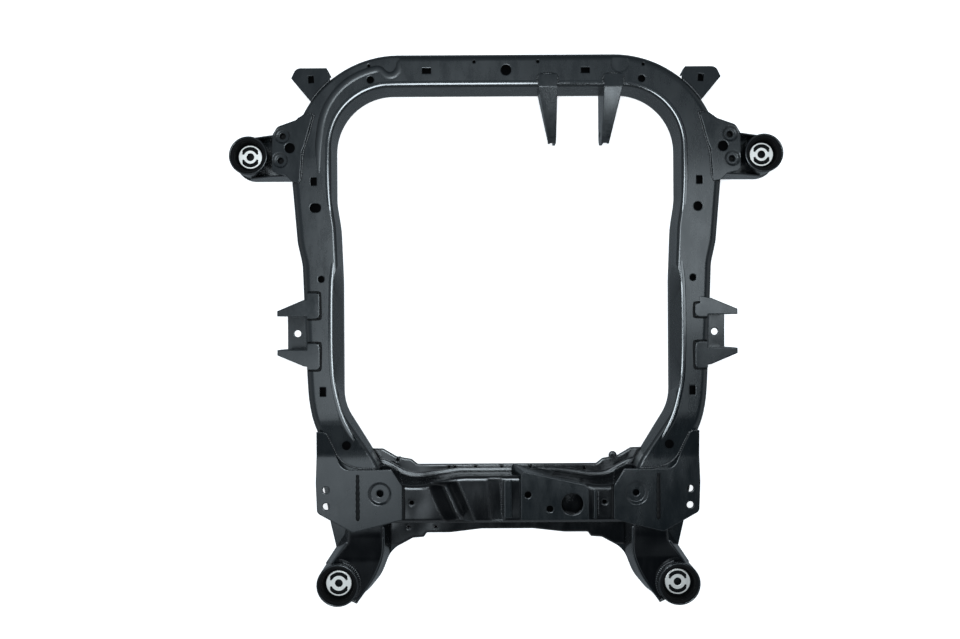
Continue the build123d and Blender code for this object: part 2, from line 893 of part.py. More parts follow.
def trough(x, width, floor, depth, slant, start_y, grow):
    """Trough pressed into the crossmember's top, open to the rear, enlarged by grow."""
    across = Vector(1, 0, 0).rotate(Axis.Z, slant)
    along = Vector(0, 1, 0).rotate(Axis.Z, slant)
    middle_y = (cross_top_front_y + cross_top_rear_y) / 2
    profile = outline(
        (-width / 2 - grow - 1, 12, 0),
        (-width / 2 - grow, 0, 0),
        (-floor / 2 - grow, -depth - grow, 0.3 * depth),
        (floor / 2 + grow, -depth - grow, 0.3 * depth),
        (width / 2 + grow, 0, 0),
        (width / 2 + grow + 1, 12, 0),
    )
    front_limit = outline(
        (start_y + grow, cut_margin + rail_end_z, 0),
        (start_y + grow, rail_end_z, 0),
        (start_y + grow - 0.5 * depth, rail_end_z - depth - grow - 1, 0),
        (cross_foot_rear_y - cut_margin, rail_end_z - depth - grow - 1, 0),
        (cross_foot_rear_y - cut_margin, cut_margin + rail_end_z, 0),
    )
    with BuildPart() as cutter:
        with BuildSketch(Plane(origin=(x, middle_y, rail_end_z), x_dir=across, z_dir=-along)):
            add(profile)
        extrude(amount=2 * cut_margin, both=True)
        add(side_prism(front_limit), mode=Mode.INTERSECT)
    return cutter.part


def cross_troughs(grow):
    """The two troughs of the crossmember's top."""
    return [
        trough(
            valley_x,
            valley_width,
            valley_floor,
            valley_depth,
            valley_slant,
            valley_start_y,
            grow,
        ),
        trough(band_x, band_width, band_floor, band_depth, 4, band_start_y, grow),
    ]


with BuildPart() as cross_cavity:
    add(cross_block(shell_sheet, foot_z))
    for cutter in cross_troughs(shell_sheet):
        add(cutter, mode=Mode.SUBTRACT)

top_cut = emboss_depth + gusset_sheet
upper_flange = offset(cross_foot(0), amount=upper_flange_reach, kind=Kind.INTERSECTION)

with BuildPart() as crossmember_upper:
    add(slab(upper_flange, foot_z, foot_z + shell_sheet))
    add(cross_block(0, foot_z))
    for cutter in cross_troughs(0):
        add(cutter, mode=Mode.SUBTRACT)
    add(cross_cavity.part, mode=Mode.SUBTRACT)
    with BuildSketch(Plane.XY.offset(rail_end_z - top_cut)):
        with Locations((pad_hole_x, pad_hole_y), (-pad_hole_x, pad_hole_y)):
            Circle(pad_hole_radius)
        with Locations((emboss_x, emboss_y), (-emboss_x, emboss_y)):
            Circle(emboss_radius + 1)
        with Locations(*gear_bolt_spots):
            Circle(gear_bolt_radius + gear_bolt_clearance)
        with Locations((gear_bore_x, gear_bore_y)):
            Circle(gear_bore_radius + gear_bolt_clearance)
    extrude(amount=2 * top_cut, mode=Mode.SUBTRACT)
    add(tube_envelope.part, mode=Mode.SUBTRACT)

write_node(crossmember_upper.part, "crossmember_upper")

# Rear legs: drafted channels from the rear corners down to the rear bushes
leg_foot_inner = [(225, -424, 50), (243, -470, 80), (268, -500, 60), (285, -512, 2)]
leg_foot_outer = [(330, -500, 0), (352, -449, 0)]
leg_crown_inner = [(234, -415, 50), (251, -458, 80), (272, -490, 60), (286, -515.3, 2)]
leg_crown_outer = [(330, -490, 0), (336, -445, 0)]
leg_front_y = -285.0
leg_knee_y = -393.0


def leg_block(inset):
    """Drafted block of a rear leg, shrunk inwards by inset."""
    foot = outline(
        (300, leg_front_y, 0),
        (225, leg_front_y, 0),
        *leg_foot_inner,
        *leg_foot_outer,
        (315, leg_knee_y, 0),
    )
    crown = outline(
        (291, leg_front_y, 0),
        (234, leg_front_y, 0),
        *leg_crown_inner,
        *leg_crown_outer,
        (299, leg_knee_y, 0),
    )
    crest = outline(
        (-270, 0, 0),
        (-270, rail_end_z - inset, 0),
        (-380, rail_end_z - 1 - inset, 60),
        (-430, 50 - inset, 60),
        (-540, 44 - inset, 0),
        (-540, 0, 0),
    )
    with BuildPart() as block:
        with BuildSketch(Plane.XY.offset(plate)):
            add(foot)
            offset(amount=-inset, kind=Kind.INTERSECTION, mode=Mode.REPLACE)
        with BuildSketch(Plane.XY.offset(rail_end_z)):
            add(crown)
            offset(amount=-inset, kind=Kind.INTERSECTION, mode=Mode.REPLACE)
        loft(ruled=True)
        add(side_prism(crest), mode=Mode.INTERSECT)
    return block.part


with BuildPart() as rear_leg_upper:
    add(leg_block(0))
    add(leg_block(shell_sheet), mode=Mode.SUBTRACT)
    with BuildSketch():
        with Locations((rear_bush_x, rear_bush_y)):
            Circle(rear_sleeve_radius)
    extrude(amount=tube_height, mode=Mode.SUBTRACT)
    with BuildSketch(Plane.XY.offset(rail_end_z - top_cut)):
        with Locations((emboss_x, emboss_y)):
            Circle(emboss_radius + 1)
    extrude(amount=2 * top_cut, mode=Mode.SUBTRACT)
    add(cross_block(0, foot_z), mode=Mode.SUBTRACT)
    add(slab(upper_flange, foot_z, foot_z + shell_sheet), mode=Mode.SUBTRACT)

write_pair(rear_leg_upper.part, "rear_leg_upper")

# Corner gussets: plates that follow the rail's top, each with a pressed seat and two holes
gusset_outline = outline(
    (gusset_outer_x - 1.5, gusset_front_y, 0),
    (gusset_outer_x + 2, -283, 60),
    (gusset_outer_x, gusset_rear_y + 37, 10),
    (289.5, gusset_rear_y, 6),
    (233, -361, 6),
    (gusset_inner_x, -351.5, 1),
    (gusset_inner_x, -290, 6),
    (217.6, -258.3, 1),
    (309, -258.3, 22),
    (336.7, -191, 6),
    (341.3, gusset_front_y, 0),
)
gusset_side = outline(
    (gusset_front_y + cut_margin, tube_height - shell_sheet, 0),
    (drop_start_y, tube_height, 0),
    (drop_end_y, rail_end_z, 60),
    (gusset_rear_y - cut_margin, rail_end_z, 0),
    (gusset_rear_y - cut_margin, rail_end_z + gusset_sheet, 0),
    (drop_end_y, rail_end_z + gusset_sheet, 60),
    (drop_start_y, tube_height + gusset_sheet, 0),
    (gusset_front_y + cut_margin, tube_height + gusset_sheet, 0),
)

with BuildPart() as corner_gusset:
    add(slab(gusset_outline, rail_end_z - cut_margin, tube_height + cut_margin))
    add(side_prism(gusset_side), mode=Mode.INTERSECT)
    with BuildSketch(Plane.XY.offset(rail_end_z - 1)):
        with Locations((emboss_x, emboss_y)):
            Circle(emboss_radius)
        with Locations((wing_hole_x, wing_hole_y), (wing_hole_x, wing_hole_y - wing_hole_pitch)):
            Circle(wing_hole_radius)
    extrude(amount=2 * gusset_sheet, mode=Mode.SUBTRACT)
    add(
        dish(
            emboss_radius,
            emboss_hole_radius,
            emboss_depth,
            gusset_sheet,
            emboss_x,
            emboss_y,
            rail_end_z + gusset_sheet,
        )
    )
    add(tube_envelope.part, mode=Mode.SUBTRACT)

write_pair(corner_gusset.part, "corner_gusset")

# Lower corner plates: they close the rear corners and legs from below
lower_corner_outline = outline(
    (tray_half_length, drop_end_y - 12, 0),
    (gusset_outer_x - 16, drop_end_y - 12, 12),
    (gusset_outer_x + 1, -290, 20),
    (gusset_outer_x - 14, -372, 8),
    (gusset_outer_x - 25, -420, 4),
    *reversed(leg_foot_outer),
    *reversed(leg_foot_inner),
    (tray_half_length, -413, 0),
)

with BuildPart() as corner_lower_plate:
    add(slab(lower_corner_outline, 0, plate))
    with BuildSketch():
        with Locations((rear_bush_x, rear_bush_y)):
            Circle(rear_sleeve_radius)
    extrude(amount=plate, mode=Mode.SUBTRACT)
    add(tube_envelope.part, mode=Mode.SUBTRACT)

write_pair(corner_lower_plate.part, "corner_lower_plate")

# Crossmember's lower shell: a shallow tray with a flange round it
flange_right = [
    (0, flange_front_y, 0),
    (172, flange_front_y, 6),
    (184, -247.4, 6),
    (212, -242.5, 6),
    (238.5, -227, 6),
    (262, -226.5, 0),
    (250, -262, 0),
    (232, -278, 0),
    (226, -300, 0),
    (226, -413, 0),
    (208, -413, 0),
    (182, -399, 4),
    (161, -397.5, 3),
    (155, -389, 3),
    (110, -389, 60),
    (50, flange_rear_y, 60),
    (0, flange_rear_y, 0),
]
flange_half = outline(*flange_right)
flange_spots = [
    (-111.6, -263.2),
    (-100.6, -263.2),
    (-60.4, -263.2),
    (-10.3, -263.2),
    (45.3, -263.2),
    (149.1, -267),
    (-210.7, -248),
    (-191, -378.1),
    (-138, -378.1),
]
flange_tab_x = 204.0
flange_tab_y = -242.0
flange_tab_radius = 7.8
tray_ends = outline(
    (-tray_half_length, 0, 0),
    (tray_half_length, 0, 0),
    (tray_half_length, -2 * cross_half_length, 0),
    (-tray_half_length, -2 * cross_half_length, 0),
)

with BuildPart() as tray_block:
    add(slab(cross_foot(0), 0, foot_z))
    add(slab(tray_ends, 0, foot_z), mode=Mode.INTERSECT)

with BuildPart() as tray_hollow:
    add(slab(cross_foot(shell_sheet), shell_sheet, foot_z))

with BuildPart() as crossmember_lower:
    add(slab(flange_half, flange_z, foot_z))
    mirror(about=Plane.YZ)
    with BuildSketch(Plane.XY.offset(flange_z)):
        with Locations((flange_tab_x, flange_tab_y)):
            Circle(flange_tab_radius)
    extrude(amount=shell_sheet)
    add(tray_block.part)
    add(tray_hollow.part, mode=Mode.SUBTRACT)
    with BuildSketch(Plane.XY.offset(flange_z)):
        with Locations(*flange_spots):
            Circle(flange_hole_radius)
    extrude(amount=shell_sheet, mode=Mode.SUBTRACT)
    add(tube_envelope.part, mode=Mode.SUBTRACT)
    add(leg_block(0), mode=Mode.SUBTRACT)
    add(mirror(leg_block(0), about=Plane.YZ), mode=Mode.SUBTRACT)

write_node(crossmember_lower.part, "crossmember_lower")


# Steering gear seat: a raised tray over the crossmember's +X half
def gear_tray(inset):
    """Drafted block of the steering gear seat, shrunk inwards by inset."""
    top = outline(
        (gear_seat_left_x, -266.7, 0),
        (gear_seat_left_x + 5, -261, 0),
        (gear_seat_right_x - 6, -286, 0),
        (gear_seat_right_x, -291, 0),
        (gear_seat_right_x, gear_seat_rear_y, 0),
        (gear_seat_left_x, gear_seat_rear_y, 0),
    )
    foot = outline(
        (gear_seat_left_x - 16, -264, 0),
        (gear_seat_left_x - 12, -257.5, 0),
        (gear_seat_right_x - 2, -280, 0),
        (gear_seat_right_x + 4, -286, 0),
        (gear_seat_right_x + 4, gear_seat_rear_y - 2, 0),
        (gear_seat_left_x - 16, gear_seat_rear_y - 2, 0),
    )
    with BuildPart() as block:
        with BuildSketch(Plane.XY.offset(foot_z + shell_sheet)):
            add(foot)
            offset(amount=-inset, kind=Kind.INTERSECTION, mode=Mode.REPLACE)
        with BuildSketch(Plane.XY.offset(gear_seat_top_z - inset)):
            add(top)
            offset(amount=-inset, kind=Kind.INTERSECTION, mode=Mode.REPLACE)
        loft(ruled=True)
    return block.part


with BuildPart() as steering_gear_plate:
    add(gear_tray(0))
    add(gear_tray(plate), mode=Mode.SUBTRACT)
    with BuildSketch(Plane.XY.offset(gear_seat_top_z - plate)):
        with Locations(*gear_bolt_spots):
            Circle(gear_bolt_radius)
        with Locations((gear_bore_x, gear_bore_y)):
            Circle(gear_bore_radius)
    extrude(amount=plate, mode=Mode.SUBTRACT)
    add(cross_block(0, foot_z), mode=Mode.SUBTRACT)

write_node(steering_gear_plate.part, "steering_gear_plate")

# Small stiffeners either side of the steering gear seat
stiffener_top_z = rail_end_z + 6

with BuildPart() as steering_stiffener_left:
    with BuildSketch(Plane.XZ.offset(278)):
        add(
            outline(
                (-11, rail_end_z - 2 * plate, 0),
                (-8, stiffener_top_z, 3),
                (7, stiffener_top_z, 3),
                (9, rail_end_z - 2 * plate, 0),
            )
        )
        offset(amount=-plate, kind=Kind.INTERSECTION, mode=Mode.SUBTRACT)
    extrude(amount=70)
    add(cross_block(0, foot_z), mode=Mode.SUBTRACT)

write_node(steering_stiffener_left.part, "steering_stiffener_left")

with BuildPart() as steering_stiffener_right:
    with BuildSketch(Plane.XZ.offset(298)):
        add(
            outline(
                (157, rail_end_z - 2 * plate, 0),
                (159, stiffener_top_z, 2),
                (165, stiffener_top_z, 2),
                (167, rail_end_z - 2 * plate, 0),
            )
        )
    extrude(amount=52)
    add(cross_block(0, foot_z), mode=Mode.SUBTRACT)

write_node(steering_stiffener_right.part, "steering_stiffener_right")
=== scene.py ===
import logging
import math
from dataclasses import KW_ONLY, dataclass, field
from enum import Enum
from typing import Any, ClassVar, Iterable, Sequence

import bpy
import numpy as np
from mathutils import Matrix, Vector
from mathutils.bvhtree import BVHTree


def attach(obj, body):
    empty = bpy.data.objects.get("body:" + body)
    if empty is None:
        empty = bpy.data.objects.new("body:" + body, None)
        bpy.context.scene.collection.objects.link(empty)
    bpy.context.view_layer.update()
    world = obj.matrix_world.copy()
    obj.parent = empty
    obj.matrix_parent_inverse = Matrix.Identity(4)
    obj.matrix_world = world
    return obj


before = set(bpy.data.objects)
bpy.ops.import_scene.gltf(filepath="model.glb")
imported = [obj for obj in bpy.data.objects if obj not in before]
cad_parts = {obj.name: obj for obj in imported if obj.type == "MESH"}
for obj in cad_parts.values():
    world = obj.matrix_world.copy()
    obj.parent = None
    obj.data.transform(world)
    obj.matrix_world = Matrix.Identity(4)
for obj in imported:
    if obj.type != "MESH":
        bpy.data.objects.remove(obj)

LOG = logging.getLogger("subframe")

MM = 0.001
FULL_TURN = 2.0 * math.pi
UP = (0.0, 0.0, 1.0)
AHEAD = (0.0, 1.0, 0.0)

# Sockets of the Mix node in its colour mode: the factor, both colours and the result.
MIX_BY, MIX_A, MIX_B, MIXED = 0, 6, 7, 2

# The wave texture's phase grows by this many radians per unit of its scaled coordinate.
WAVE_RATE = 20.0

# Swept runs: columns round them, spacing and least number of rows, rounds of corner cutting,
# and the rows over which the height on the frame is averaged.
RUN_COLUMNS = 10
ROW_MM = 1.1
LEAST_ROWS = 8
CUT_ROUNDS = 3
LEVEL_ROWS = 5

# Powers of the superellipse for a round hole and for a square one with soft corners.
ROUND = 2.0
SQUARE = 6.0

# Lower and upper faces of the dark plugs that paint shade into holes: under the tube's top,
# under the corner brackets, under the crossmember's flange, and within the carriers' upper
# plates.
TUBE_LEVELS_MM = (68.2, 69.6)
BRACKET_LEVELS_MM = (60.0, 61.6)
FLANGE_LEVELS_MM = (9.3, 10.5)
CARRIER_LEVELS_MM = (75.1, 76.4)


class Hand(Enum):
    """Side of the frame, seen from above with the front beam at the top."""

    RIGHT = 1
    LEFT = -1

    @property
    def word(self) -> str:
        """Name of the side as the solids' names end."""
        return self.name.lower()


BOTH = (Hand.RIGHT, Hand.LEFT)
RIGHT_ONLY = (Hand.RIGHT,)
LEFT_ONLY = (Hand.LEFT,)

# Solids that runs lie on, where HAND stands for the side.
ON_TUBE = ("perimeter_tube",)
ON_SHELL = ("crossmember_upper",)
ON_GUSSET = ("corner_gusset_HAND",)
ON_LEG = ("rear_leg_upper_HAND",)


def linear(hex_colour: str) -> tuple[float, float, float, float]:
    """Turn an sRGB hex value into linear red, green, blue and alpha.

    Args:
        hex_colour: six hex digits after a hash sign.

    Returns:
        Linear colour with alpha 1.
    """
    parts = np.array([int(hex_colour[i : i + 2], 16) for i in (1, 3, 5)]) / 255.0
    low = parts / 12.92
    high = ((parts + 0.055) / 1.055) ** 2.4
    red, green, blue = np.where(parts <= 0.04045, low, high)
    return float(red), float(green), float(blue), 1.0


def per_metre(size_mm: float) -> float:
    """Pattern scale on Object coordinates for features of size_mm millimetres."""
    return 1.0 / (size_mm * MM)


def add_node(
    tree: bpy.types.NodeTree,
    kind: str,
    settings: dict[Any, Any] | None = None,
    links: dict[Any, bpy.types.NodeSocket] | None = None,
) -> bpy.types.Node:
    """Add one node with its settings and its incoming links.

    Args:
        tree: node tree that takes the node.
        kind: the node's type name.
        settings: input sockets, by name or index, or attributes, with their values.
        links: input sockets, by name or index, with the sockets that feed them.

    Returns:
        The new node.
    """
    node = tree.nodes.new(kind)
    for key, value in (settings or {}).items():
        if isinstance(key, str) and hasattr(node, key):
            setattr(node, key, value)
        else:
            node.inputs[key].default_value = value
    for key, source in (links or {}).items():
        tree.links.new(source, node.inputs[key])
    return node


@dataclass(frozen=True)
class Finish:
    """A procedural finish, which becomes one material of its own name."""

    name: str

    def shade(self, tree: bpy.types.NodeTree) -> bpy.types.Node:
        """Add the nodes of this kind of finish and return its shader."""
        raise NotImplementedError

    def build(self) -> bpy.types.Material:
        """Make the material.

        Returns:
            Material whose surface is the finish's own shader.
        """
        material = bpy.data.materials.new(self.name)
        material.use_nodes = True
        tree = material.node_tree
        tree.nodes.clear()
        shader = self.shade(tree)
        add_node(tree, "ShaderNodeOutputMaterial", {}, {"Surface": shader.outputs["BSDF"]})
        return material


@dataclass(frozen=True)
class DipCoat(Finish):
    """Black cathodic dip coat on pressed steel.

    The real finish is a thin, even, satin-black film: the top faces look slate grey, the
    edges catch a bright line, and rubbed spots are a little duller and lighter.

    Attributes:
        polish: how much smoother than the roughness the calm spots are.
        dulling: how much rougher the scuffed spots are.
        form_radius_mm: radius over which the bends of pressed sheet are softened.
        edge_cosines: cosines of the bend where an edge's wear begins and is full.
        scuff_stretch: scale of the scuffs along the frame, as a share of that across.
        scuff_values: values of their noise where the coat is calm and where it is dull.
    """

    colour: str = "#0E1214"
    patch_colour: str = "#171C1F"
    edge_colour: str = "#33373B"
    roughness: float = 0.28
    polish: float = 0.06
    dulling: float = 0.10
    ior: float = 1.5
    specular: float = 0.5
    coat: float = 0.35
    coat_roughness: float = 0.12
    form_radius_mm: float = 2.5
    edge_radius_mm: float = 1.3
    edge_wear: float = 0.5
    edge_cosines: tuple[float, float] = (0.999, 0.90)
    patch_mm: float = 140.0
    scuff_mm: float = 24.0
    scuff_stretch: float = 0.35
    scuff_values: tuple[float, float] = (0.35, 0.75)
    peel_mm: float = 7.0
    peel_height_mm: float = 0.4
    peel_strength: float = 0.10
    wave_mm: float = 85.0
    wave_height_mm: float = 0.5

    def shade(self, tree: bpy.types.NodeTree) -> bpy.types.Node:
        """Shade with colour patches, dulled scuffs, lighter edges, waves and a faint peel.

        Args:
            tree: the material's node tree.

        Returns:
            The shader node.
        """
        coords = add_node(tree, "ShaderNodeTexCoord").outputs["Object"]
        stretch = {"Scale": (1.0, self.scuff_stretch, 1.0)}
        stretched = add_node(tree, "ShaderNodeMapping", stretch, {"Vector": coords})
        patches, scuffs, peel, waves = (
            add_node(
                tree,
                "ShaderNodeTexNoise",
                {"Scale": per_metre(size_mm), "Detail": detail, "Roughness": roughness},
                {"Vector": vector},
            ).outputs["Fac"]
            for size_mm, detail, roughness, vector in (
                (self.patch_mm, 4.0, 0.6, coords),
                (self.scuff_mm, 8.0, 0.7, stretched.outputs["Vector"]),
                # The peel of the real film is near 1 mm; it is drawn coarser so that it shows.
                (self.peel_mm, 3.0, 0.5, coords),
                # Pressed sheet is never quite flat: wide, shallow waves bend its reflections.
                (self.wave_mm, 0.5, 0.3, coords),
            )
        )
        # The sheet has no sharp bends: the normal is rounded over the form radius.
        soft = add_node(
            tree, "ShaderNodeBevel", {"samples": 8, "Radius": self.form_radius_mm * MM}
        )
        rim = add_node(
            tree, "ShaderNodeBevel", {"samples": 4, "Radius": self.edge_radius_mm * MM}
        )
        # Edges are worn where this narrower rounding turns away from the face.
        geometry = add_node(tree, "ShaderNodeNewGeometry")
        bend = add_node(
            tree,
            "ShaderNodeVectorMath",
            {"operation": "DOT_PRODUCT"},
            {0: geometry.outputs["Normal"], 1: rim.outputs["Normal"]},
        )
        edge = add_node(
            tree,
            "ShaderNodeMapRange",
            {
                "From Min": self.edge_cosines[0],
                "From Max": self.edge_cosines[1],
                "To Max": self.edge_wear,
            },
            {"Value": bend.outputs["Value"]},
        )
        worn = add_node(
            tree,
            "ShaderNodeMath",
            {"operation": "MULTIPLY"},
            {0: edge.outputs["Result"], 1: scuffs},
        )
        tone = add_node(
            tree,
            "ShaderNodeMix",
            {"data_type": "RGBA", MIX_A: linear(self.colour), MIX_B: linear(self.patch_colour)},
            {MIX_BY: patches},
        )
        paint = add_node(
            tree,
            "ShaderNodeMix",
            {"data_type": "RGBA", MIX_B: linear(self.edge_colour)},
            {MIX_BY: worn.outputs["Value"], MIX_A: tone.outputs[MIXED]},
        )
        dullness = add_node(
            tree,
            "ShaderNodeMapRange",
            {
                "From Min": self.scuff_values[0],
                "From Max": self.scuff_values[1],
                "To Min": self.roughness - self.polish,
                "To Max": self.roughness + self.dulling,
            },
            {"Value": scuffs},
        )
        sheet = add_node(
            tree,
            "ShaderNodeBump",
            {"Strength": 1.0, "Distance": self.wave_height_mm * MM},
            {"Height": waves, "Normal": soft.outputs["Normal"]},
        )
        bump = add_node(
            tree,
            "ShaderNodeBump",
            {"Strength": self.peel_strength, "Distance": self.peel_height_mm * MM},
            {"Height": peel, "Normal": sheet.outputs["Normal"]},
        )
        return add_node(
            tree,
            "ShaderNodeBsdfPrincipled",
            {
                "IOR": self.ior,
                "Specular IOR Level": self.specular,
                "Coat Weight": self.coat,
                "Coat Roughness": self.coat_roughness,
            },
            {
                "Base Color": paint.outputs[MIXED],
                "Roughness": dullness.outputs["Result"],
                "Normal": bump.outputs["Normal"],
                "Coat Normal": sheet.outputs["Normal"],
            },
        )


@dataclass(frozen=True)
class MottledFinish(Finish):
    """A finish in two mingled shades, duller where it is lighter, with a grain.

    Attributes:
        polish: how much smoother than the roughness the dark spots are.
        dulling: how much rougher the light spots are.
        mottle: size in mm, detail and roughness of the pattern of the shades.
        grain: the same three of the grain.
    """

    colour: str
    light_colour: str
    roughness: float
    polish: float
    dulling: float
    mottle: tuple[float, float, float]
    grain: tuple[float, float, float]
    grain_strength: float
    grain_height_mm: float
    ior: float = 1.5
    specular: float = 0.5
    coat: float = 0.0
    coat_roughness: float = 0.25

    def shade(self, tree: bpy.types.NodeTree) -> bpy.types.Node:
        """Shade with the mingled colours and the bump of the grain.

        Args:
            tree: the material's node tree.

        Returns:
            The shader node.
        """
        coords = add_node(tree, "ShaderNodeTexCoord").outputs["Object"]
        mottle, grain = (
            add_node(
                tree,
                "ShaderNodeTexNoise",
                {"Scale": per_metre(size_mm), "Detail": detail, "Roughness": roughness},
                {"Vector": coords},
            ).outputs["Fac"]
            for size_mm, detail, roughness in (self.mottle, self.grain)
        )
        tone = add_node(
            tree,
            "ShaderNodeMix",
            {"data_type": "RGBA", MIX_A: linear(self.colour), MIX_B: linear(self.light_colour)},
            {MIX_BY: mottle},
        )
        dullness = add_node(
            tree,
            "ShaderNodeMapRange",
            {"To Min": self.roughness - self.polish, "To Max": self.roughness + self.dulling},
            {"Value": mottle},
        )
        bump = add_node(
            tree,
            "ShaderNodeBump",
            {"Strength": self.grain_strength, "Distance": self.grain_height_mm * MM},
            {"Height": grain},
        )
        return add_node(
            tree,
            "ShaderNodeBsdfPrincipled",
            {
                "IOR": self.ior,
                "Specular IOR Level": self.specular,
                "Coat Weight": self.coat,
                "Coat Roughness": self.coat_roughness,
            },
            {
                "Base Color": tone.outputs[MIXED],
                "Roughness": dullness.outputs["Result"],
                "Normal": bump.outputs["Normal"],
            },
        )


@dataclass(frozen=True)
class CoatedWeld(MottledFinish):
    """Arc weld bead under the same dip coat: darker than the sheet, spattery, with crests."""

    name: str = "coated_weld_bead"
    colour: str = "#060708"
    light_colour: str = "#1B1D20"
    roughness: float = 0.24
    polish: float = 0.08
    dulling: float = 0.12
    mottle: tuple[float, float, float] = (3.0, 6.0, 0.65)
    grain: tuple[float, float, float] = (3.0, 6.0, 0.65)
    grain_strength: float = 0.5
    grain_height_mm: float = 0.6
    coat: float = 0.2


@dataclass(frozen=True)
class MouldedRubber(MottledFinish):
    """Carbon-black natural rubber from a mould: matt, near black, with a faint grey bloom."""

    name: str = "moulded_natural_rubber"
    colour: str = "#050506"
    light_colour: str = "#0E0F10"
    roughness: float = 0.62
    polish: float = 0.12
    dulling: float = 0.14
    mottle: tuple[float, float, float] = (26.0, 5.0, 0.5)
    # The mould's spark grain is near 0.3 mm; it is drawn coarser so that it shows.
    grain: tuple[float, float, float] = (2.2, 4.0, 0.5)
    grain_strength: float = 0.35
    grain_height_mm: float = 0.3
    ior: float = 1.52
    specular: float = 0.1


@dataclass(frozen=True)
class TurnedAluminium(Finish):
    """Turned aluminium: bright, with rings round the bolt bore and a few dull spots.

    Attributes:
        centre_mm: place of the bore, which the rings go round.
        bore_colour: painted shade inside bore_mm, the radius of the bore and its chamfer.
        ring_mm: spacing of the rings.
    """

    centre_mm: tuple[float, float]
    colour: str = "#FBF8F3"
    shade_colour: str = "#E6E2DC"
    bore_colour: str = "#26282A"
    bore_mm: float = 7.2
    roughness: float = 0.46
    polish: float = 0.05
    dulling: float = 0.12
    ring_mm: float = 10.05
    ring_height_mm: float = 0.2
    ring_strength: float = 0.12
    spot_mm: float = 9.0

    def shade(self, tree: bpy.types.NodeTree) -> bpy.types.Node:
        """Shade a metal with turning rings and painted shade in the bore.

        Args:
            tree: the material's node tree.

        Returns:
            The shader node.
        """
        coords = add_node(tree, "ShaderNodeTexCoord").outputs["Object"]
        centred = add_node(
            tree,
            "ShaderNodeMapping",
            {"Location": (-self.centre_mm[0] * MM, -self.centre_mm[1] * MM, 0.0)},
            {"Vector": coords},
        )
        # Tool marks are near 0.2 mm apart; the rings are drawn coarser so that they show.
        rings = add_node(
            tree,
            "ShaderNodeTexWave",
            {
                "wave_type": "RINGS",
                "rings_direction": "Z",
                "Scale": FULL_TURN * per_metre(self.ring_mm) / WAVE_RATE,
                "Distortion": 0.6,
                "Detail": 2.0,
            },
            {"Vector": centred.outputs["Vector"]},
        )
        spots = add_node(
            tree,
            "ShaderNodeTexNoise",
            {"Scale": per_metre(self.spot_mm), "Detail": 5.0},
            {"Vector": coords},
        )
        tone = add_node(
            tree,
            "ShaderNodeMix",
            {"data_type": "RGBA", MIX_A: linear(self.colour), MIX_B: linear(self.shade_colour)},
            {MIX_BY: spots.outputs["Fac"]},
        )
        # The bolt bore is as drilled; its inside is painted dark, a painted shade.
        flat = add_node(
            tree,
            "ShaderNodeVectorMath",
            {"operation": "MULTIPLY", 1: (1.0, 1.0, 0.0)},
            {0: centred.outputs["Vector"]},
        )
        radius = add_node(
            tree, "ShaderNodeVectorMath", {"operation": "LENGTH"}, {0: flat.outputs["Vector"]}
        )
        bore_shade = add_node(
            tree,
            "ShaderNodeMath",
            {"operation": "LESS_THAN", 1: self.bore_mm * MM},
            {0: radius.outputs["Value"]},
        )
        metal = add_node(
            tree,
            "ShaderNodeMix",
            {"data_type": "RGBA", MIX_B: linear(self.bore_colour)},
            {MIX_BY: bore_shade.outputs["Value"], MIX_A: tone.outputs[MIXED]},
        )
        dullness = add_node(
            tree,
            "ShaderNodeMapRange",
            {"To Min": self.roughness - self.polish, "To Max": self.roughness + self.dulling},
            {"Value": spots.outputs["Fac"]},
        )
        bump = add_node(
            tree,
            "ShaderNodeBump",
            {"Strength": self.ring_strength, "Distance": self.ring_height_mm * MM},
            {"Height": rings.outputs["Fac"]},
        )
        return add_node(
            tree,
            "ShaderNodeBsdfPrincipled",
            {"Metallic": 1.0},
            {
                "Base Color": metal.outputs[MIXED],
                "Roughness": dullness.outputs["Result"],
                "Normal": bump.outputs["Normal"],
            },
        )


@dataclass(frozen=True)
class PaperSweep(Finish):
    """Matt white paper, lit so strongly that it shows as plain white."""

    name: str = "white_paper_sweep"
    colour: str = "#FFFFFF"
    roughness: float = 0.9
    glow: float = 0.62

    def shade(self, tree: bpy.types.NodeTree) -> bpy.types.Node:
        """Shade as matt white that glows faintly.

        Args:
            tree: the material's node tree.

        Returns:
            The shader node.
        """
        return add_node(
            tree,
            "ShaderNodeBsdfPrincipled",
            {
                "Base Color": linear(self.colour),
                "Roughness": self.roughness,
                "Emission Color": linear(self.colour),
                "Emission Strength": self.glow,
            },
        )


def pair(stem: str) -> list[str]:
    """Names of a right and a left solid with the same stem."""
    return [f"{stem}_{hand.word}" for hand in BOTH]


def dress(names: Iterable[str], material: bpy.types.Material) -> None:
    """Give solids of the frame one finish.

    Args:
        names: the solids' names.
        material: the finish.
    """
    for name in names:
        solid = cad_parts[name]
        for slot in solid.material_slots:
            slot.material = material
        if not solid.material_slots:
            solid.data.materials.append(material)
        LOG.info("dressed %s with %s", name, material.name)


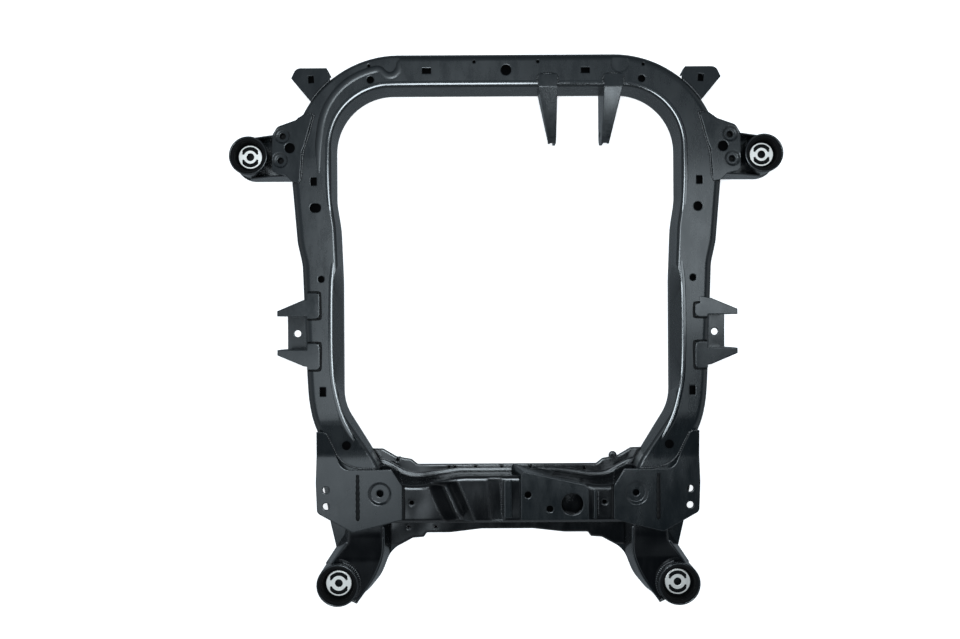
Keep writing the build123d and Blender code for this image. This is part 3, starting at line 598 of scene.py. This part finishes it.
def closed_mesh(name: str, points: np.ndarray) -> bpy.types.Mesh:
    """Put a grid of points into a closed mesh.

    The grid is rows along a path by columns round it. Neighbouring rows are joined by
    quads, the last column joins the first, and each end is closed by a fan to the mean of
    its row.

    Args:
        name: name of the mesh.
        points: array of shape (rows, columns, 3), in metres.

    Returns:
        The mesh, shaded smooth.
    """
    rows, columns, _ = points.shape
    index = np.arange(rows * columns).reshape(rows, columns)
    after = np.roll(index, -1, axis=1)
    quads = np.stack([index[:-1], after[:-1], after[1:], index[1:]], axis=-1).reshape(-1, 4)
    tips = np.stack([points[0].mean(axis=0), points[-1].mean(axis=0)])
    first, last = rows * columns, rows * columns + 1
    start_fan = np.stack([np.full(columns, first), after[0], index[0]], axis=-1)
    end_fan = np.stack([np.full(columns, last), index[-1], after[-1]], axis=-1)
    vertices = np.vstack([points.reshape(-1, 3), tips])
    mesh = bpy.data.meshes.new(name)
    mesh.from_pydata(
        vertices.tolist(), [], quads.tolist() + start_fan.tolist() + end_fan.tolist()
    )
    mesh.polygons.foreach_set("use_smooth", np.ones(len(mesh.polygons), dtype=bool))
    mesh.update()
    return mesh


@dataclass
class Seat:
    """Finds the height of the frame's own surface under a point."""

    names: tuple[str, ...]
    start: float = 0.2
    trees: list[BVHTree] = field(init=False)

    def __post_init__(self) -> None:
        """Build a search tree for each named solid."""
        graph = bpy.context.evaluated_depsgraph_get()
        self.trees = [BVHTree.FromObject(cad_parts[name], graph) for name in self.names]

    def height(self, x: float, y: float, fallback: float) -> float:
        """Highest surface straight below a point at the start height.

        Args:
            x: position across the frame, in metres.
            y: position along the frame, in metres.
            fallback: height used where nothing lies below, in metres.

        Returns:
            Height in metres.
        """
        down = -Vector(UP)
        hits = [tree.ray_cast(Vector((x, y, self.start)), down)[0] for tree in self.trees]
        return max((hit.z for hit in hits if hit is not None), default=fallback)


@dataclass(frozen=True)
class Piece:
    """A piece that one side of the frame carries, or both.

    Attributes:
        name: middle of the piece's name, between the kind's prefix and the side.
        hands: sides of the frame that carry it.
        slot: the record's finish that it takes; not used.
        prefix: first word of the piece's name.
        crease_deg: bend from which an edge is sharp, or None for a smooth piece.
    """

    prefix: ClassVar[str] = "piece"
    crease_deg: ClassVar[float | None] = None

    name: str
    _: KW_ONLY
    hands: tuple[Hand, ...] = BOTH
    slot: str = "plate_paint"

    def grid(self, hand: Hand) -> np.ndarray:
        """Points of the closed surface, as closed_mesh() takes them."""
        raise NotImplementedError

    def build(self, material: bpy.types.Material) -> None:
        """Build the piece on each of its sides and dress it.

        Args:
            material: the piece's finish.
        """
        for hand in self.hands:
            name = f"{self.prefix}_{self.name}_{hand.word}"
            mesh = closed_mesh(name, self.grid(hand))
            if self.crease_deg is not None:
                mesh.set_sharp_from_angle(angle=math.radians(self.crease_deg))
            mesh.materials.append(material)
            piece = bpy.data.objects.new(name, mesh)
            bpy.context.scene.collection.objects.link(piece)
            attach(piece, "root")
            LOG.info("built %s, %d faces", name, len(mesh.polygons))


@dataclass(frozen=True)
class SweptRun(Piece):
    """A rounded run laid along a path on the frame.

    Attributes:
        path_mm: corner points (x, y) of the run on the +X side, or (x, y, z).
        seat: the solids that it lies on; HAND stands for the side.
        level_mm: height of the points that have none, where there is no seat.
        width_mm: width of the run.
        rise: half height of the section as a share of its half width.
        ripple: depth of the ripples as a share of the half width.
        pitch_mm: spacing of the ripples.
        fallback_mm: height where no solid of the seat lies below.
        fade_mm: lengths over which the run grows at its start and ebbs at its end.
    """

    path_mm: Sequence[Sequence[float]]
    seat: tuple[str, ...] = ()
    _: KW_ONLY
    level_mm: float = math.nan
    width_mm: float = 5.0
    rise: float = 0.62
    ripple: float = 0.18
    pitch_mm: float = 4.2
    fallback_mm: float = 62.0
    fade_mm: tuple[float, float] = (0.0, 0.0)

    def line(self, hand: Hand) -> np.ndarray:
        """Even points along the run's path.

        Each corner is cut at a quarter of its sides, and the cuts are cut again, which
        rounds them. On a seat the heights are its surface's, averaged over a few rows.

        Args:
            hand: side of the frame.

        Returns:
            Array of shape (rows, 3), in metres.
        """
        rough = np.array([(*spot, self.level_mm)[:3] for spot in self.path_mm], float)
        rough[:, 0] *= hand.value
        for _ in range(CUT_ROUNDS if len(rough) > 2 else 0):
            near = 0.75 * rough[:-1] + 0.25 * rough[1:]
            far = 0.25 * rough[:-1] + 0.75 * rough[1:]
            middle = np.stack([near, far], axis=1).reshape(-1, 3)[1:-1]
            rough = np.vstack([rough[:1], middle, rough[-1:]])
        steps = np.linalg.norm(np.diff(rough[:, :2], axis=0), axis=1)
        along = np.concatenate([[0.0], np.cumsum(steps)])
        spots = np.linspace(0.0, along[-1], max(LEAST_ROWS, int(along[-1] / ROW_MM)))
        even = np.column_stack([np.interp(spots, along, rough[:, i]) for i in range(3)])
        even *= MM
        if self.seat:
            seat = Seat(tuple(name.replace("HAND", hand.word) for name in self.seat))
            levels = [seat.height(x, y, self.fallback_mm * MM) for x, y in even[:, :2]]
            padded = np.pad(levels, LEVEL_ROWS // 2, mode="edge")
            even[:, 2] = np.convolve(padded, np.ones(LEVEL_ROWS) / LEVEL_ROWS, mode="valid")
        return even

    def radius(self, s: np.ndarray, angle: np.ndarray) -> np.ndarray:
        """Radius of the run at arc length s and angle a round it.

        It is half the width, times an end taper, times one plus the ripple's share of
        sin(2 pi s / pitch + 1.2 |cos a|) + 0.5 sin(s / 17 mm + letters of the name)
        + 0.3 sin(s / 6.1 mm + 2). The taper is the rise of a quarter circle over each
        end's fade, or over half the width where there is no fade.

        Args:
            s: arc lengths in metres, of shape (rows, 1).
            angle: angles in radians, of shape (1, columns).

        Returns:
            Radii in metres, of shape (rows, columns).
        """
        half = 0.5 * self.width_mm * MM
        grown = s / max(half, self.fade_mm[0] * MM)
        left = (s[-1] - s) / max(half, self.fade_mm[1] * MM)
        ends = np.clip(np.minimum(grown, left), 0.0, 1.0)
        taper = np.sqrt(np.clip(1.0 - (1.0 - ends) ** 2, 0.02, 1.0))
        waves = np.sin(FULL_TURN * s / (self.pitch_mm * MM) + 1.2 * np.abs(np.cos(angle)))
        slow = 0.5 * np.sin(s / (17.0 * MM) + len(self.name))
        quick = 0.3 * np.sin(s / (6.1 * MM) + 2.0)
        return half * taper * (1.0 + self.ripple * (waves + slow + quick))

    def grid(self, hand: Hand) -> np.ndarray:
        """Carry the section along the line.

        A point is the line's, plus radius cos a along the side, plus rise times radius
        sin a along the normal of the side and the line.

        Args:
            hand: side of the frame.

        Returns:
            Points of shape (rows, columns, 3), in metres.
        """
        line = self.line(hand)
        steps = np.linalg.norm(np.diff(line, axis=0), axis=1)
        s = np.concatenate([[0.0], np.cumsum(steps)])[:, None]
        tangent = np.gradient(line, axis=0)
        tangent /= np.linalg.norm(tangent, axis=1)[:, None]
        side = np.cross(UP, tangent)
        side /= np.linalg.norm(side, axis=1)[:, None]
        normal = np.cross(tangent, side)
        angle = np.linspace(0.0, FULL_TURN, RUN_COLUMNS, endpoint=False)[None, :]
        radius = self.radius(s, angle)
        across = (radius * np.cos(angle))[:, :, None] * side[:, None, :]
        height = (self.rise * radius * np.sin(angle))[:, :, None] * normal[:, None, :]
        return line[:, None, :] + across + height


@dataclass(frozen=True)
class WeldBead(SweptRun):
    """Weld bead; a sooty one is near black, painted shade of its weld groove, not a coated
    fillet.
    """

    prefix: ClassVar[str] = "weld"

    _: KW_ONLY
    sooty: bool = False


@dataclass(frozen=True)
class RolledEdge(SweptRun):
    """Smooth, low run along the rounded edge of a pressed piece."""

    prefix: ClassVar[str] = "edge"

    _: KW_ONLY
    rise: float = 0.2
    ripple: float = 0.0
    slot: str = "tube_paint"


@dataclass(frozen=True)
class PressedRib(RolledEdge):
    """Soft rib pressed into the top of the tube."""

    prefix: ClassVar[str] = "rib"


@dataclass(frozen=True)
class SlotRubber(SweptRun):
    """Rubber that stands a little proud in a kidney slot."""

    prefix: ClassVar[str] = "slot_rubber"

    _: KW_ONLY
    width_mm: float = 7.4
    rise: float = 0.14
    ripple: float = 0.0
    slot: str = "bush_rubber"


@dataclass(frozen=True)
class CapNut(Piece):
    """Blind weld nut under a bolt hole: turned, with a bore that stops above its end.

    Attributes:
        centre_mm: place on the +X side.
        top_mm: height of its upper face, against the plate.
        height_mm: length along its axis.
        outer_mm: outer radius.
        bore_mm: radius of the bore.
        end_mm: thickness of the closed end.
        cut_mm: size of the cut corners.
        columns: points round its axis.
    """

    prefix: ClassVar[str] = "nut"
    crease_deg: ClassVar[float | None] = 30.0

    centre_mm: tuple[float, float]
    top_mm: float
    height_mm: float = 9.0
    outer_mm: float = 9.5
    bore_mm: float = 5.1
    end_mm: float = 1.5
    cut_mm: float = 0.4
    columns: int = 40

    def grid(self, hand: Hand) -> np.ndarray:
        """Turn the nut's profile.

        The profile (radius, height) runs up the bore, over the upper face and down the
        outside; it is carried round the nut's axis.

        Args:
            hand: side of the frame.

        Returns:
            Points of shape (7, columns, 3), in metres.
        """
        low, cut = self.top_mm - self.height_mm, self.cut_mm
        profile = [
            (self.bore_mm, low + self.end_mm),
            (self.bore_mm, self.top_mm - cut),
            (self.bore_mm + cut, self.top_mm),
            (self.outer_mm - cut, self.top_mm),
            (self.outer_mm, self.top_mm - cut),
            (self.outer_mm, low + cut),
            (self.outer_mm - cut, low),
        ]
        radius, height = np.array(profile[::-1]).T[:, :, None]
        angle = np.linspace(0.0, FULL_TURN, self.columns, endpoint=False)
        x = hand.value * self.centre_mm[0] + radius * np.cos(angle)
        y = self.centre_mm[1] + radius * np.sin(angle)
        return np.stack([x, y, height + 0.0 * angle], axis=-1) * MM


@dataclass(frozen=True)
class HolePlug(Piece):
    """Dark plug in or under a hole, square or round: painted shade for the hole's dark inside.

    Attributes:
        centre_mm: place on the +X side.
        half_mm: half sizes across and along the frame.
        power: power of the outline's superellipse.
        columns: points round it.
        levels_mm: heights of its lower and upper faces.
        turn_deg: angle by which it is turned on the +X side.
    """

    prefix: ClassVar[str] = "plug"
    crease_deg: ClassVar[float | None] = 30.0

    centre_mm: tuple[float, float]
    half_mm: tuple[float, float]
    power: float = ROUND
    columns: int = 48
    _: KW_ONLY
    levels_mm: tuple[float, float] = TUBE_LEVELS_MM
    turn_deg: float = 0.0
    slot: str = "bush_rubber"

    def grid(self, hand: Hand) -> np.ndarray:
        """Carry the outline up the plug, a little smaller at both faces.

        The outline is the superellipse |x / a|^power + |y / b|^power = 1, turned with the
        hole.

        Args:
            hand: side of the frame.

        Returns:
            Points of shape (4, columns, 3), in metres.
        """
        low, high = self.levels_mm
        profile = [(0.96, low), (1.0, low + 0.3), (1.0, high - 0.4), (0.9, high)]
        share, height = np.array(profile).T[:, :, None]
        angle = np.linspace(0.0, FULL_TURN, self.columns, endpoint=False)
        cosine, sine = np.cos(angle), np.sin(angle)
        reach = (np.abs(cosine) ** self.power + np.abs(sine) ** self.power) ** (
            -1.0 / self.power
        )
        across = share * self.half_mm[0] * reach * cosine
        along = share * self.half_mm[1] * reach * sine
        turn = math.radians(self.turn_deg) * hand.value
        x = across * math.cos(turn) - along * math.sin(turn)
        y = across * math.sin(turn) + along * math.cos(turn)
        x += hand.value * self.centre_mm[0]
        y += self.centre_mm[1]
        return np.stack([x, y, height + 0.0 * angle], axis=-1) * MM


@dataclass
class Frame:
    """The coated steel of the frame: tube, shells, plates and brackets."""

    tube_coat: DipCoat = DipCoat("dip_coated_tube", edge_wear=0.35)
    shell_coat: DipCoat = DipCoat(
        "dip_coated_pressing",
        colour="#08090B",
        patch_colour="#0E1012",
        roughness=0.17,
        form_radius_mm=6.5,
        wave_mm=60.0,
        wave_height_mm=2.4,
    )
    plate_coat: DipCoat = DipCoat("dip_coated_plate", roughness=0.22, edge_wear=0.7)
    plate_pairs: tuple[str, ...] = (
        "front_corner_bracket", "front_mount_upper", "front_mount_lower", "arm_ear_front",
        "arm_ear_rear", "arm_bracket_base", "corner_gusset", "corner_lower_plate",
    )
    single_plates: tuple[str, ...] = (
        "torque_bracket_inner", "torque_bracket_outer", "steering_gear_plate",
        "steering_stiffener_left", "steering_stiffener_right",
    )

    def dress(self) -> None:
        """Dress the tube, the pressed shells and the plates."""
        shells = ["crossmember_upper", "crossmember_lower", *pair("rear_leg_upper")]
        plates = [name for stem in self.plate_pairs for name in pair(stem)]
        dress(["perimeter_tube"], self.tube_coat.build())
        dress(shells, self.shell_coat.build())
        dress([*plates, *self.single_plates], self.plate_coat.build())


@dataclass
class BodyMount:
    """One pair of body mount bushes: sleeve, rubber and turned core.

    Attributes:
        centre_mm: axis of the bush on the +X side.
        slot_radius_mm: radius of the rubber in the disc's two kidney slots.
        slot_half_deg: half the angle that each of them spans.
        slot_points: points along each.
        slot_level_mm: height of their middle, just under the disc's face.
    """

    place: str
    centre_mm: tuple[float, float]
    slot_radius_mm: float
    slot_half_deg: float = 60.0
    slot_points: int = 15
    slot_level_mm: float = 45.9

    def dress(self, sleeve: bpy.types.Material, rubber: bpy.types.Material) -> None:
        """Dress both bushes of the pair.

        Args:
            sleeve: finish of the outer sleeves.
            rubber: finish of the rubber.
        """
        dress(pair(f"bush_sleeve_{self.place}"), sleeve)
        dress(pair(f"bush_rubber_{self.place}"), rubber)
        for hand in BOTH:
            centre = (self.centre_mm[0] * hand.value, self.centre_mm[1])
            finish = TurnedAluminium(f"turned_aluminium_{self.place}_{hand.word}", centre)
            dress([f"bush_core_{self.place}_{hand.word}"], finish.build())

    def build(self, rubber: bpy.types.Material) -> None:
        """Fill the kidney slots, each an arc round the bore.

        Args:
            rubber: finish of the rubber.
        """
        for word, middle in (("north", 90.0), ("south", 270.0)):
            ends = (middle - self.slot_half_deg, middle + self.slot_half_deg)
            angle = np.radians(np.linspace(*ends, self.slot_points))
            ring = self.slot_radius_mm * np.column_stack([np.cos(angle), np.sin(angle)])
            path = (self.centre_mm + ring).tolist()
            SlotRubber(f"{self.place}_{word}", path, level_mm=self.slot_level_mm).build(rubber)


@dataclass
class BodyMounts:
    """The four body mounts with their finishes."""

    sleeve_coat: DipCoat = DipCoat("dip_coated_sleeve", colour="#08090A", roughness=0.22)
    rubber: MouldedRubber = MouldedRubber()
    mounts: tuple[BodyMount, ...] = (
        BodyMount("front", (482.0, 329.5), 15.9),
        BodyMount("rear", (319.5, -475.0), 17.6),
    )

    def build(self) -> None:
        """Dress the bushes and fill the slots of their discs."""
        sleeve, rubber = self.sleeve_coat.build(), self.rubber.build()
        for mount in self.mounts:
            mount.dress(sleeve, rubber)
            mount.build(rubber)


@dataclass
class Welds:
    """Weld beads that join the plates and brackets to the tube and shells."""

    finish: CoatedWeld = CoatedWeld()
    # Near-black, matt beads: painted shade of the dark weld grooves round the tabs and slots.
    sooty_finish: CoatedWeld = CoatedWeld(
        "sooty_plug_weld",
        colour="#020203",
        light_colour="#0B0C0D",
        roughness=0.46,
        coat=0.0,
        specular=0.15,
    )
    beads: tuple[WeldBead, ...] = (
        WeldBead(
            "gusset_front",
            [(339, -188), (335.5, -192), (308, -256.8), (217, -256.8), (197, -288)],
            ON_TUBE + ON_SHELL,
            width_mm=4.0,
        ),
        WeldBead(
            "gusset_side",
            [(195.2, -288), (195.2, -353)],
            ON_SHELL,
            width_mm=6.4,
            rise=0.45,
            ripple=0.14,
            sooty=True,
        ),
        WeldBead(
            "gusset_slot",
            [(280, -266.5), (280, -353.5)],
            ON_GUSSET,
            width_mm=7.0,
            pitch_mm=11.3,
            rise=0.3,
            ripple=0.13,
            sooty=True,
        ),
        WeldBead(
            "carrier",
            [
                (388, 393), (374, 403.5), (356, 403.5), (356, 400), (371.5, 345.5),
                (376.5, 333.5), (377.5, 315.5), (380.8, 273.6), (396, 275.4),
            ],
            ON_TUBE,
            width_mm=4.0,
            fallback_mm=70.0,
        ),
        WeldBead(
            "corner_bracket",
            [(327.6, 466.6), (337.9, 457.3), (347.5, 447.3), (356.4, 436.7), (362.6, 428.4)],
            level_mm=70.0,
            width_mm=4.5,
        ),
        # The front tab of the left bracket is longer than that of the right one.
        *(
            WeldBead(
                "arm_front_tab",
                [(371, 23), (347, 23), (345.5, 26), (345.5, y), (348, y + 2), (370, y + 2)],
                ON_TUBE,
                width_mm=4.6,
                fallback_mm=70.0,
                hands=hands,
                sooty=True,
            )
            for y, hands in ((49, RIGHT_ONLY), (71, LEFT_ONLY))
        ),
        WeldBead(
            "arm_rear_tab",
            [(371, -20.5), (347, -20.5), (345.5, -23), (345.5, -69), (348, -72), (370, -72)],
            ON_TUBE,
            width_mm=4.6,
            fallback_mm=70.0,
            sooty=True,
        ),
        *(
            WeldBead(
                f"torque_{word}",
                [(x, 458), (x, 475.8), (x + 38.8, 475.8), (x + 38.8, 458)],
                ON_TUBE,
                width_mm=3.6,
                hands=RIGHT_ONLY,
            )
            for word, x in (("inner", 57.6), ("outer", 179.6))
        ),
        *(
            WeldBead(
                f"stiffener_{word}",
                [(x, front), (x, rear)],
                ON_SHELL,
                width_mm=3.4,
                hands=RIGHT_ONLY,
            )
            for word, x, front, rear in (
                ("inner", -12.5, -283, -345),
                ("outer", 168.6, -300, -346),
            )
        ),
        WeldBead(
            "leg_sleeve",
            [
                (312.4, -434.8), (299.1, -439.7), (288.2, -448.7), (281.2, -461.1),
                (278.7, -475.0), (281.2, -488.9), (288.2, -501.2),
            ],
            ON_LEG,
            width_mm=4.5,
            fallback_mm=47.0,
        ),
    )

    def build(self) -> None:
        """Lay every bead, on both sides where the piece is paired."""
        coated, sooty = self.finish.build(), self.sooty_finish.build()
        for bead in self.beads:
            bead.build(sooty if bead.sooty else coated)


@dataclass
class Fittings:
    """Dark nuts and plugs as painted shade in holes, rolled edges, and the left front's pressed
    rib.
    """

    # The nuts' near-black finish is painted shade in the bolt holes above them.
    nut_finish: DipCoat = DipCoat(
        "blackened_weld_nut",
        colour="#020202",
        patch_colour="#050506",
        roughness=0.55,
        coat=0.0,
        specular=0.12,
    )
    # The plugs' near-black, barely glossy finish is painted shade in the holes.
    plug_finish: MouldedRubber = MouldedRubber(
        "soft_rubber_plug", colour="#020202", light_colour="#050506", specular=0.02
    )
    rib_finish: DipCoat = DipCoat(
        "dip_coated_rib", roughness=0.38, coat=0.2, form_radius_mm=1.0, edge_wear=0.0
    )
    edge_finish: DipCoat = DipCoat(
        "dip_coated_rolled_edge",
        roughness=0.16,
        coat=1.0,
        form_radius_mm=1.0,
        edge_wear=0.0,
        wave_height_mm=0.2,
    )
    nuts: tuple[CapNut, ...] = (
        CapNut("carrier_front", (414.0, 362.0), 71.5),
        CapNut("carrier_rear", (418.0, 317.0), 71.5),
    )
    plugs: tuple[HolePlug, ...] = (
        HolePlug(
            "corner",
            (362.0, 468.5),
            (5.4, 6.6),
            SQUARE,
            levels_mm=BRACKET_LEVELS_MM,
            turn_deg=-5.0,
        ),
        HolePlug("beam_centre", (0.0, 482.5), (11.0, 11.0), ROUND, 40, hands=RIGHT_ONLY),
        HolePlug("beam_small", (59.0, 498.0), (4.2, 4.2), ROUND, 24),
        HolePlug("beam_slot", (147.0, 481.5), (9.4, 6.4), SQUARE),
        HolePlug("corner_small", (254.0, 492.0), (4.2, 4.2), ROUND, 24),
        HolePlug("corner_hole", (251.0, 465.5), (8.0, 8.0), ROUND, 32),
        HolePlug("front_window", (357.0, 278.0), (7.0, 8.8), SQUARE),
        HolePlug("shoulder", (354.0, 229.0), (11.8, 10.0), 2.5, 40),
        HolePlug("waist_hole", (344.0, 97.0), (7.4, 7.4), ROUND, 32),
        HolePlug("rear_window", (342.0, -111.5), (7.0, 9.8), SQUARE),
        HolePlug("tail_hole", (300.0, -212.0), (8.2, 8.2), ROUND, 32),
        HolePlug(
            "carrier_hole", (400.0, 339.5), (9.45, 9.45), ROUND, 40, levels_mm=CARRIER_LEVELS_MM
        ),
    )
    flange_spots: tuple[tuple[float, float], ...] = (
        (-111.6, -263.2), (-100.6, -263.2), (-60.4, -263.2), (-10.3, -263.2), (45.3, -263.2),
        (149.1, -267.0), (-210.7, -248.0), (-191.0, -378.1), (-138.0, -378.1),
    )
    flange_half_mm: float = 2.5
    flange_columns: int = 24
    rib: PressedRib = PressedRib(
        "corner",
        [
            (346, 262, 73.9), (349, 322, 74.1), (343.9, 374, 74.1), (337, 404.8, 74.1),
            (321.9, 433.7, 74.1), (299.8, 457.8, 74.1), (272.3, 475.3, 74.1),
            (241.2, 485.1, 74.1), (233.5, 484, 74.1), (228.8, 478.4, 74.1),
            (221.2, 473.1, 74.1), (211.9, 472.3, 74.1), (203.4, 476.2, 74.1),
            (198.1, 483.8, 74.1), (197, 490, 74.1), (197.5, 502, 74.2),
        ],
        width_mm=15.0,
        fade_mm=(110.0, 20.0),
        hands=LEFT_ONLY,
    )
    edges: tuple[RolledEdge, ...] = (
        RolledEdge(
            "waist",
            [
                (322.0, 146), (323.0, 122), (328.0, 84), (328.0, -74), (319.6, -122.2),
                (307.8, -163.2), (284.5, -203.8),
            ],
            level_mm=74.0,
            width_mm=12.5,
            fade_mm=(40.0, 60.0),
        ),
        RolledEdge(
            "beam",
            [
                (-7, 460.5), (215, 460.5), (238.6, 458.1), (271, 446.4), (298.6, 425.6),
                (319.4, 397.5), (330.9, 364.6), (333, 331), (333, 262), (326, 200),
                (323.8, 170),
            ],
            level_mm=74.0,
            width_mm=12.0,
            fade_mm=(6.0, 120.0),
        ),
        *(
            RolledEdge(
                f"leg_{word}", path, ON_LEG, fallback_mm=50.0, rise=0.5, slot="shell_paint"
            )
            for word, path in (
                ("outer", [(301, -394), (331.5, -437)]),
                (
                    "inner",
                    [(233.5, -366), (233.5, -416.8), (250.5, -459.5), (272, -490.5), (284, -507)],
                ),
            )
        ),
    )

    def flange_plugs(self) -> list[HolePlug]:
        """Dark plugs under the holes of the crossmember's flanges, painted shade.

        Returns:
            One plug per hole, on its own side.
        """
        return [
            HolePlug(
                f"flange_{number}",
                (abs(x), y),
                (self.flange_half_mm, self.flange_half_mm),
                ROUND,
                self.flange_columns,
                levels_mm=FLANGE_LEVELS_MM,
                hands=RIGHT_ONLY if x > 0.0 else LEFT_ONLY,
            )
            for number, (x, y) in enumerate(self.flange_spots, 1)
        ]

    def build(self) -> None:
        """Place every fitting."""
        groups = (
            (self.nut_finish, self.nuts),
            (self.plug_finish, (*self.plugs, *self.flange_plugs())),
            (self.rib_finish, (self.rib,)),
            (self.edge_finish, self.edges),
        )
        for finish, pieces in groups:
            material = finish.build()
            for piece in pieces:
                piece.build(material)


@dataclass(frozen=True)
class Lamp:
    """Oblong soft light that faces straight down.

    Attributes:
        place: position in metres.
        size: sides along X and Y in metres.
        glow: radiance of its face, where 1 shows as white.
    """

    name: str
    place: tuple[float, float, float]
    size: tuple[float, float]
    glow: float
    tint: str = "#EAF7FF"

    def build(self) -> None:
        """Hang the lamp; its power is pi times its radiance times its area."""
        data = bpy.data.lights.new(self.name, "AREA")
        data.shape = "RECTANGLE"
        data.size, data.size_y = self.size
        data.energy = math.pi * self.glow * self.size[0] * self.size[1]
        data.color = linear(self.tint)[:3]
        lamp = bpy.data.objects.new(self.name, data)
        lamp.location = self.place
        bpy.context.scene.collection.objects.link(lamp)


@dataclass
class Studio:
    """White floor, soft light and the photograph's camera."""

    camera_mm: tuple[float, float, float] = (-50.5, 21.0, 1575.0)
    camera_turn: float = -0.0055
    focal_px: float = 810.8
    photo_width_px: int = 960
    sensor_mm: float = 36.0
    clip: tuple[float, float] = (0.05, 100.0)
    floor_size: float = 60.0
    floor_paper: PaperSweep = PaperSweep()
    bright: str = "#8C969E"
    dark: str = "#0B0C0E"
    horizon: str = "#B4BCC2"
    ahead: str = "#565D63"
    below: str = "#6E767C"
    dark_side: tuple[float, float, float] = (0.8, -0.6, 0.0)
    lamps: tuple[Lamp, ...] = (
        Lamp("overhead", (-0.12, 0.23, 2.2), (0.66, 0.94), 14.0),
        Lamp("slope_box", (0.55, -0.4, 2.2), (0.22, 0.22), 11.0),
        Lamp("left_box", (-0.85, -0.56, 2.5), (0.9, 0.9), 1.5),
        Lamp("right_box", (1.05, 0.35, 2.5), (0.8, 0.8), 3.3),
    )

    def floor(self) -> None:
        """Lay the white floor, which the gloss of the coat does not mirror."""
        half = self.floor_size / 2.0
        corners = [(x * half, y * half, 0.0) for x, y in ((-1, -1), (1, -1), (1, 1), (-1, 1))]
        mesh = bpy.data.meshes.new("floor")
        mesh.from_pydata(corners, [], [(0, 1, 2, 3)])
        mesh.materials.append(self.floor_paper.build())
        floor = bpy.data.objects.new("floor", mesh)
        bpy.context.scene.collection.objects.link(floor)
        floor.visible_glossy = False

    def sky(self) -> None:
        """Soft surroundings: pale, dimmer ahead, and dark overhead on the right behind.

        Each ramp is a smooth step, from low to high, of the direction's part along a vector.
        The colours lie over each other, each laid on by its own ramp.
        """
        world = bpy.data.worlds.new("studio")
        world.use_nodes = True
        tree = world.node_tree
        tree.nodes.clear()
        coords = add_node(tree, "ShaderNodeTexCoord").outputs["Generated"]
        ramps = {}
        for word, vector, low, high in (
            ("ahead", AHEAD, 0.45, 0.8),
            ("bright", UP, 0.25, 0.9),
            ("side", self.dark_side, 0.03, 0.20),
            ("steep", UP, 0.55, 0.8),
            ("below", UP, 0.04, -0.08),
        ):
            dot = {"operation": "DOT_PRODUCT", 1: vector}
            part = add_node(tree, "ShaderNodeVectorMath", dot, {0: coords})
            ramp = add_node(
                tree,
                "ShaderNodeMapRange",
                {"From Min": low, "From Max": high, "interpolation_type": "SMOOTHSTEP"},
                {"Value": part.outputs["Value"]},
            )
            ramps[word] = ramp.outputs["Result"]
        shade = add_node(
            tree,
            "ShaderNodeMath",
            {"operation": "MULTIPLY"},
            {0: ramps["side"], 1: ramps["steep"]},
        )
        ramps["dark"] = shade.outputs["Value"]
        under = {}
        for word, colour in (
            ("ahead", self.ahead),
            ("bright", self.bright),
            ("dark", self.dark),
            ("below", self.below),
        ):
            layer = add_node(
                tree,
                "ShaderNodeMix",
                {"data_type": "RGBA", MIX_A: linear(self.horizon), MIX_B: linear(colour)},
                {MIX_BY: ramps[word], **under},
            )
            under = {MIX_A: layer.outputs[MIXED]}
        light = add_node(tree, "ShaderNodeBackground", {}, {"Color": under[MIX_A]})
        add_node(tree, "ShaderNodeOutputWorld", {}, {"Surface": light.outputs["Background"]})
        bpy.context.scene.world = world

    def camera(self) -> None:
        """Set the camera straight above the frame, as the photograph was taken."""
        data = bpy.data.cameras.new("camera")
        data.sensor_fit = "HORIZONTAL"
        data.sensor_width = self.sensor_mm
        data.lens = self.focal_px / self.photo_width_px * self.sensor_mm
        data.clip_start, data.clip_end = self.clip
        camera = bpy.data.objects.new("camera", data)
        camera.location = [v * MM for v in self.camera_mm]
        camera.rotation_euler = (0.0, 0.0, self.camera_turn)
        bpy.context.scene.collection.objects.link(camera)
        bpy.context.scene.camera = camera

    def build(self) -> None:
        """Set up the floor, the surroundings, the lights and the camera."""
        self.floor()
        self.sky()
        for lamp in self.lamps:
            lamp.build()
        self.camera()
        bpy.context.scene.view_settings.view_transform = "Standard"


def main() -> None:
    """Build the looks in order."""
    logging.basicConfig(level=logging.INFO, format="%(message)s")
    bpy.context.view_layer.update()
    Studio().build()
    Frame().dress()
    BodyMounts().build()
    Welds().build()
    Fittings().build()


if __name__ == "__main__":
    main()
